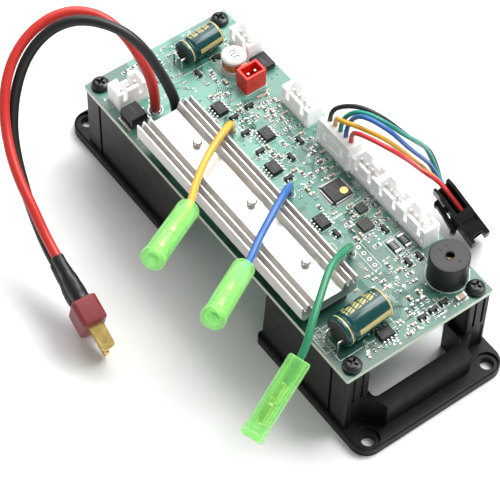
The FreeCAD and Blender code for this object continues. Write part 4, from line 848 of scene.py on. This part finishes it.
# the many tiny parts between the packages
taken = []
for node in ("gate_driver_bodies", "gate_driver_leads", "microcontroller_body", "microcontroller_leads", "leadless_chips", "transistor_bodies", "transistor_leads",
             "power_transistor_bodies", "power_transistor_leads", "sense_resistors", "chip_resistors", "chip_capacitors", "capacitor_cans", "capacitor_bungs", "capacitor_legs",
             "inductor_core", "buzzer_housing", "signal_headers", "charge_header", "power_switch_header", "harness_plug", "heatsink", "mosfet_bodies", "mosfet_tabs_and_leads"):
    taken += [(lo.x, lo.y, hi.x, hi.y) for lo, hi in islands(node)]
taken += [(x - 2.2, y - 2.2, x + 2.2, y + 2.2) for x, y in BASES] + [(x - 3.2, y - 3.2, x + 3.2, y + 3.2) for x, y in HOLES]
taken += [(28.9, 2.4, 40.5, 6.0), (-47.6, -16.9, -41.8, -11.1), (-41.3, -13.6, -35.5, -7.8), (46.0, -25.6, 54.6, -21.8)]


def tiny(x, y, upright, kind):
    ln, w, h = (1.0, 0.5, 0.38) if kind < 2 else (1.5, 0.8, 0.5)
    a, b = (w / 2 + 0.2, ln / 2 + 0.42) if upright else (ln / 2 + 0.42, w / 2 + 0.2)
    if not (blo.x + 1.2 + a < x < bhi.x - 1.2 - a and blo.y + 1.2 + b < y < bhi.y - 1.0 - b):
        return
    if any(x + a > t[0] and x - a < t[2] and y + b > t[1] and y - b < t[3] for t in taken):
        return
    taken.append((x - a, y - b, x + a, y + b))
    ang = 90.0 if upright else 0.0
    dx, dy = (0, 1) if upright else (1, 0)
    if kind == 0:
        cbox(rb, (x, y, P + h / 2), (ln * 0.6, w * 0.92, h * 0.86), 0.03, ang)
        cbox(rg, (x, y, P + h * 0.93), (ln * 0.56, w * 0.84, h * 0.16), 0.015, ang)
    else:
        cbox(cb, (x, y, P + h / 2), (ln * 0.6, w * 0.95, h * 0.92), 0.04, ang)
    for q in (-1, 1):
        c = ln * 0.4 * q
        cbox(term, (x + dx * c, y + dy * c, P + h / 2), (ln * 0.22, w, h), 0.035, ang)
        wedge(sold, x + dx * ln / 2 * q, y + dy * ln / 2 * q, dx * q, dy * q, w, h * 0.7, 0.24)
    if rnd.random() < 0.7:
        g = w / 2 + 0.2
        for q in (-1, 1):
            if upright:
                strip(silk, (x + g * q, y - ln / 2 - 0.3), (x + g * q, y + ln / 2 + 0.3), 0.09, Z_SILK)
            else:
                strip(silk, (x - ln / 2 - 0.3, y + g * q), (x + ln / 2 + 0.3, y + g * q), 0.09, Z_SILK)


for row, y in enumerate((17.7, 15.9, 14.1)):
    x = -31.0
    while x < 43.0:
        if rnd.random() < (0.95, 0.75, 0.45)[row]:
            tiny(x, y + rnd.choice((0, 0, 0.15)), rnd.random() < 0.8, rnd.choice((0, 0, 1)))
        x += rnd.choice((1.05, 1.2, 1.5))
for x0, y0, x1, y1, n in ((14, 5, 31, 16, 60), (38, -6, 50, 17, 60), (57, -22, 63.5, 12, 60), (-12, -4, 10, 8, 24), (-34, -3, -20, 12, 26), (-52, -3, -38, 9, 22), (-63, -10, -50, 2, 16),
                          (-32, 10, -8, 17, 26), (-60, 17, -50, 24, 12)):
    for n in range(n):
        tiny(round(rnd.uniform(x0, x1) * 2) / 2, round(rnd.uniform(y0, y1) * 2) / 2, rnd.random() < 0.5, rnd.choice((0, 0, 1, 1, 2)))
for x, y, dx, dy, w in fil:
    wedge(sold, x, y, dx, dy, w * 1.05, 0.3, 0.28)
piece("resistor_bodies", rb, M["alumina"], replaces=("chip_resistors",))
piece("resistor_glaze", rg, M["glaze"])
piece("ceramic_capacitors", cb, M["ceramic"], replaces=("chip_capacitors",))
piece("chip_terminals", term, M["tin"])

# sense resistors: wide metal ends and value strokes
bm, bt = bmesh.new(), bmesh.new()
for lo, hi in islands("sense_resistors"):
    cx, cy = (lo.x + hi.x) / 2, (lo.y + hi.y) / 2
    cbox(bm, (cx, cy, (P + hi.z) / 2 + 0.02), (3.6, hi.y - lo.y - 0.06, hi.z - P - 0.06), 0.08)
    for s in (-1, 1):
        cbox(bt, (cx + s * 2.0, cy, (P + hi.z) / 2), (0.8, hi.y - lo.y, hi.z - P), 0.08)
        wedge(sold, cx + s * 2.4, cy, s, 0, hi.y - lo.y, 0.45, 0.4)
    for k in range(4):
        strip(silk, (cx - 1.05 + k * 0.62, cy - 0.4), (cx - 1.05 + k * 0.62, cy + 0.4), 0.16, hi.z + 0.0, 0.02)
piece("shunt_bodies", bm, M["glaze"], replaces=("sense_resistors",))
piece("shunt_ends", bt, M["tin"])

# ------------------------------------------------------------------ solder cones: under the board and at the lead bases
def cone_joint(bm, x, y, z, r, h, pin, down=True):
    s = -1 if down else 1
    prof = [(r, 0.0), (r * 0.92, 0.08), (r * 0.62, h * 0.32), (pin * 1.25, h * 0.7), (pin, h), (0, h * 1.06)]
    lathe(bm, prof, Matrix.Translation((x, y, z)) @ Matrix.Diagonal((1, 1, s, 1)), 18)


for lo, hi in islands("header_pins"):
    cone_joint(sold, (lo.x + hi.x) / 2, (lo.y + hi.y) / 2, UNDER, 0.95, 1.5, 0.32)
for lo, hi in islands("capacitor_legs"):
    cx = (lo.x + hi.x) / 2
    cone_joint(sold, cx, lo.y + 0.35, UNDER, 1.0, 1.4, 0.33)
for x, y, r in ((-44.7, -14.0, 2.7), (-38.4, -10.7, 2.7), *[(q[0], q[1], 1.9) for q in BASES]):
    cone_joint(sold, x, y, UNDER, r, 1.9, r * 0.42)
    annulus(pads, x, y, r * 0.62, r * 0.86, Z_PAD, 0.03, 30)
    lathe(sold, [(r * 0.62 + 0.02, 0.0), (r * 0.8, 0.0), (r * 0.73, 0.16), (r * 0.66, 0.34), (r * 0.62, 0.5), (r * 0.55, 0.54), (r * 0.5, 0.0)], Matrix.Translation((x, y, P)), 26)
for x, y in [(BX, BY) for BX in (50.6, 55.8) for BY in (18.9,)]:
    cone_joint(sold, x, y, UNDER, 0.95, 1.4, 0.32)
piece("solder_joints", sold, M["solder"], angle=55)
piece("tinned_pads", pads, M["solder"])
piece("silkscreen", silk, M["silk"])
piece("tracks_light", hi_tr, M["trace_hi"])
piece("tracks_dark", lo_tr, M["trace_lo"])

# ------------------------------------------------------------------ package tops: pin marks and printed strokes
bm, bd = bmesh.new(), bmesh.new()
for lo, hi in islands("gate_driver_bodies"):
    cx, cy, top = (lo.x + hi.x) / 2, (lo.y + hi.y) / 2, hi.z
    disc(bm, lo.x + 0.85, lo.y + 0.85, 0.24, top - 0.004, 0.012, 16)
    for row in range(2):
        for k in range(6):
            if hi.x - lo.x > hi.y - lo.y:
                strip(bm, (cx - 1.1 + k * 0.42, cy - 0.2 + row * 0.75), (cx - 1.1 + k * 0.42, cy + 0.2 + row * 0.75), 0.1, top - 0.004, 0.012)
            else:
                strip(bm, (cx - 0.2 + row * 0.75, cy - 1.1 + k * 0.42), (cx + 0.2 + row * 0.75, cy - 1.1 + k * 0.42), 0.1, top - 0.004, 0.012)
for lo, hi in islands("microcontroller_body"):
    disc(bd, hi.x - 2.1, hi.y - 1.9, 1.25, hi.z - 0.006, 0.03, 36)
    disc(bm, lo.x + 1.0, lo.y + 1.0, 0.32, hi.z - 0.004, 0.012, 20)
    for row in range(3):
        for k in range(7):
            strip(bm, (lo.x + 1.3 + k * 0.5, lo.y + 2.2 + row * 0.9), (lo.x + 1.3 + k * 0.5, lo.y + 2.7 + row * 0.9), 0.11, hi.z - 0.004, 0.012)
for lo, hi in islands("leadless_chips"):
    disc(bm, lo.x + 0.6, lo.y + 0.6, 0.18, hi.z - 0.004, 0.012, 14)
for lo, hi in islands("power_transistor_bodies"):
    for k in range(6):
        strip(bm, (lo.x + 1.2 + k * 0.6, (lo.y + hi.y) / 2 - 0.4), (lo.x + 1.2 + k * 0.6, (lo.y + hi.y) / 2 + 0.4), 0.14, hi.z - 0.004, 0.012)
piece("package_marks", bm, M["mark"])
piece("paint_dot", bd, M["yellow_dot"])

# ------------------------------------------------------------------ electrolytic capacitors
for tag, (x, y0, z, r, ln, ang) in (("large", (52.75, -20.9, P + 5.05, 4.9, 16.6, 4)), ("small", (-55.4, 3.2, P + 4.15, 4.0, 13.4, 5))):
    rot = Matrix.Translation((x, y0 + ln / 2, z)) @ Matrix.Rotation(math.radians(ang), 4, "Z") @ Matrix.Translation((0, -ln / 2, 0))
    mt = rot @ Matrix.Rotation(math.radians(-90), 4, "X")          # local Z along the can
    bm = bmesh.new()
    lathe(bm, [(r - 1.15, 0.02), (r - 0.6, 0.0), (r - 0.25, 0.1), (r - 0.04, 0.4), (r, 0.8), (r, 1.6), (r - 0.1, 2.0), (r - 0.34, 2.35), (r - 0.4, 2.65), (r - 0.34, 2.95), (r - 0.1, 3.3),
               (r, 3.7), (r, ln - 0.75), (r - 0.06, ln - 0.4), (r - 0.25, ln - 0.12), (r - 0.6, ln), (r - 1.1, ln), (r - 1.2, ln - 0.1)], mt, 64)
    d = (mt.to_3x3() @ Vector((0, 0, 1))).normalized()
    up = Vector((0, 0, 1))
    film = can_material("can_film_" + tag, mt.translation * MM, d, up, r * MM, 0.0, ln * MM)
    piece("can_film_" + tag, bm, film, replaces=("capacitor_cans",), angle=45)
    bm = bmesh.new()
    lathe(bm, [(r - 1.15, ln - 0.05), (r - 1.6, ln - 0.12), (r - 1.75, ln - 0.3), (0, ln - 0.3)], mt, 48)
    for a in (0, 60, 120):                 # pressed vent
        cbox(bm, (0, 0, ln - 0.3), ((r - 1.9) * 2, 0.22, 0.06), 0.02, a, mt)
    piece("can_vent_" + tag, bm, M["can_end"], angle=40)

# ------------------------------------------------------------------ inductor: wound coil and printed cap
lo, hi = islands("inductor_core")[0]
ix, iy = (lo.x + hi.x) / 2, (lo.y + hi.y) / 2
bm = bmesh.new()
seg, turns, steps = 10, 7, 48
ring_prev, first = None, None
for i in range(turns * steps + 1):
    t = i / steps
    a = 2 * math.pi * t
    rad = 3.22 + 0.1 * math.sin(t * 2.1)
    cz = P + 1.32 + t * 0.43
    c = Vector((ix + rad * math.cos(a), iy + rad * math.sin(a), cz))
    rdir = Vector((math.cos(a), math.sin(a), 0))
    ring = [bm.verts.new(c + rdir * 0.23 * math.cos(2 * math.pi * k / seg) + Vector((0, 0, 1)) * 0.23 * math.sin(2 * math.pi * k / seg)) for k in range(seg)]
    if ring_prev:
        for k in range(seg):
            bm.faces.new((ring_prev[k], ring_prev[(k + 1) % seg], ring[(k + 1) % seg], ring[k]))
    else:
        first = ring
    ring_prev = ring
bm.faces.new(first)
bm.faces.new(list(reversed(ring_prev)))
lathe(bm, [(2.25, P + 1.12), (3.1, P + 1.12), (3.1, P + 4.58), (2.25, P + 4.58)], Matrix.Translation((ix, iy, 0)), 40, close=True)
piece("inductor_coil", bm, M["copper"], replaces=("inductor_winding",), angle=60)
bm = bmesh.new()
for k in range(3):
    strip(bm, (ix - 1.4 + k * 1.2, iy - 0.9), (ix - 1.4 + k * 1.2, iy + 0.9), 0.3, hi.z - 0.004, 0.015)
    strip(bm, (ix - 1.4 + k * 1.2, iy + (0.9 if k != 1 else -0.9)), (ix - 0.75 + k * 1.2, iy + (0.9 if k != 1 else -0.9)), 0.3, hi.z - 0.004, 0.015)
annulus(bm, ix, iy, 3.2, 3.32, hi.z - 0.02, 0.03, 40)
piece("inductor_marks", bm, M["chip_grey"])
bm = bmesh.new()
for s in (-1, 1):
    cbox(bm, (ix + s * 3.3, iy, P + 0.35), (1.1, 2.2, 0.66), 0.12)
    wedge(bm, ix + s * 3.85, iy, s, 0, 2.1, 0.5, 0.4)
piece("inductor_feet", bm, M["tin"])

# ------------------------------------------------------------------ buzzer: moulded rings on its lid
lo, hi = islands("buzzer_housing")[0]
bx, by = (lo.x + hi.x) / 2, (lo.y + hi.y) / 2
bm = bmesh.new()
lathe(bm, [(1.32, hi.z - 0.45), (1.32, hi.z - 0.02), (1.42, hi.z + 0.03), (1.75, hi.z + 0.04), (1.85, hi.z - 0.01)], Matrix.Translation((bx, by, 0)), 40)
annulus(bm, bx, by, 5.2, 5.34, hi.z - 0.01, 0.03, 48)
for a in (20, 200):
    cbox(bm, (bx + 3.4 * math.cos(math.radians(a)), by + 3.4 * math.sin(math.radians(a)), hi.z), (1.1, 0.18, 0.05), 0.02, a)
cbox(bm, (bx - 3.3, by + 1.4, hi.z), (0.18, 1.1, 0.05), 0.02)
lathe(bm, [(6.0, P + 0.02), (6.02, P + 0.5), (5.96, P + 0.62), (5.96, P + 0.7)], Matrix.Translation((bx, by, 0)), 56)
piece("buzzer_lid_detail", bm, M["buzzer"], angle=40)

# ------------------------------------------------------------------ connectors: keying ribs, latch bumps, crimp windows
bm = bmesh.new()
for lo, hi in islands("signal_headers"):
    n = max(3, int(round((hi.x - lo.x - 2.4) / 2.5)))
    for sx in (-1, 1):                      # small feet at the ends
        cbox(bm, ((lo.x + hi.x) / 2 + sx * ((hi.x - lo.x) / 2 - 0.9), lo.y - 0.16, P + 1.0), (0.7, 0.32, 2.0), 0.08)
        cbox(bm, ((lo.x + hi.x) / 2 + sx * ((hi.x - lo.x) / 2 - 0.45), (lo.y + hi.y) / 2, P + 5.6), (0.16, 2.2, 2.4), 0.05)
    cbox(bm, ((lo.x + hi.x) / 2, lo.y - 0.07, P + 2.4), ((hi.x - lo.x) * 0.36, 0.14, 0.5), 0.05)
piece("header_feet", bm, M["nylon"])
bm = bmesh.new()
lo, hi = islands("charge_header")[0]
for sy in (-1, 1):
    cbox(bm, ((lo.x + hi.x) / 2, (lo.y + hi.y) / 2 + sy * ((hi.y - lo.y) / 2 + 0.06), P + 3.2), (1.4, 0.14, 4.4), 0.05)
cbox(bm, (hi.x + 0.08, (lo.y + hi.y) / 2, P + 4.4), (0.18, 3.4, 2.6), 0.06)
piece("charge_header_ribs", bm, M["red_nylon"])
bm = bmesh.new()
PX = (-4.95, -2.45, 0.05, 2.55, 5.05)
for x in PX:                                # collar at each wire entry and the crimp seen in its window
    lathe(bm, [(0.78, 0.0), (1.12, 0.0), (1.12, 0.2), (1.0, 0.34), (0.78, 0.34)], Matrix.Translation((x, 21.0, P + 10.0 - 0.3)), 24, close=True)
piece("plug_collars", bm, M["nylon"])
bm = bmesh.new()
for x in PX:
    cbox(bm, (x, 22.35, P + 8.45), (1.2, 0.9, 1.2), 0.12)
piece("plug_crimps", bm, M["tin"])
# harness connector: ribs on the lever and lips on the housing
bm = bmesh.new()
for k in range(4):
    cbox(bm, (2.6 + k * 0.6, -4.58 - k * 0.07, 0), (0.24, 0.2, 6.2), 0.06, 0, HC)
piece("lever_grip", bm, M["connector"], body="latch_lever")
bm = bmesh.new()
cbox(bm, (14.4, -3.16, 0), (1.0, 0.16, 11.5), 0.06, 0, HC)
cbox(bm, (14.4, 3.36, 0), (1.0, 0.16, 11.5), 0.06, 0, HC)
for z in (-3.2, 0.0, 3.2):
    cbox(bm, (2.4, 3.34, z), (7.5, 0.14, 0.5), 0.05, 0, HC)
cbox(bm, (9.2, 0.2, 7.42), (1.2, 4.6, 0.12), 0.05, 0, HC)
cbox(bm, (14.6, 0, 7.42), (2.2, 4.4, 0.12), 0.05, 0, HC)
piece("connector_lips", bm, M["connector"])

# ------------------------------------------------------------------ floor, light, camera
bm = bmesh.new()
s = 6000
v = [bm.verts.new(p) for p in ((-s, -s, -0.05), (s, -s, -0.05), (s, s, -0.05), (-s, s, -0.05))]
bm.faces.new(v)
me = bpy.data.meshes.new("studio_floor")
bmesh.ops.scale(bm, vec=(MM, MM, MM), verts=bm.verts)
bm.to_mesh(me)
bm.free()
floor = bpy.data.objects.new("studio_floor", me)
scene.collection.objects.link(floor)
me.materials.append(shader("floor_paper", (0.9, 0.9, 0.9), 0.9, var=0.004, vscale=3, bump=0.0, spec=0.1))

world = bpy.data.worlds.new("studio")
scene.world = world
world.use_nodes = True
bg = world.node_tree.nodes["Background"]
bg.inputs["Color"].default_value = (1.0, 1.0, 1.0, 1)
bg.inputs["Strength"].default_value = 0.33


def area(name, loc, target, size, power, color=(1, 1, 1)):
    li = bpy.data.lights.new(name, "AREA")
    li.energy = power
    li.size = size
    li.color = color
    ob = bpy.data.objects.new(name, li)
    ob.location = loc
    ob.rotation_euler = (Vector(target) - Vector(loc)).to_track_quat("-Z", "Y").to_euler()
    scene.collection.objects.link(ob)


area("key_softbox", (0.12, 0.54, 0.84), (0, 0, 0.02), 0.6, 10.5, (1.0, 0.997, 0.99))
area("ceiling_panel", (-0.5, 0.4, 0.83), (0, 0, 0.03), 1.0, 10.5)
area("front_fill", (0.9, -0.35, 0.5), (0, 0, 0.02), 0.6, 1.2)

cam = bpy.data.cameras.new("camera")
cam.sensor_width = 36.0
cam.lens = 162.878
cam.clip_start = 0.01
cam.clip_end = 20.0
co = bpy.data.objects.new("camera", cam)
r = (0.59332067, 0.80481674, 0.01551108)
u = (-0.66135471, 0.47639279, 0.57936159)
b = (0.45889054, -0.35400553, 0.81492304)
co.matrix_world = Matrix(((r[0], u[0], b[0], 0.311306), (r[1], u[1], b[1], -0.251441), (r[2], u[2], b[2], 0.55857), (0, 0, 0, 1)))
scene.collection.objects.link(co)
scene.camera = co
scene.view_settings.view_transform = "Standard"
scene.view_settings.look = "None"
scene.view_settings.exposure = 0.0
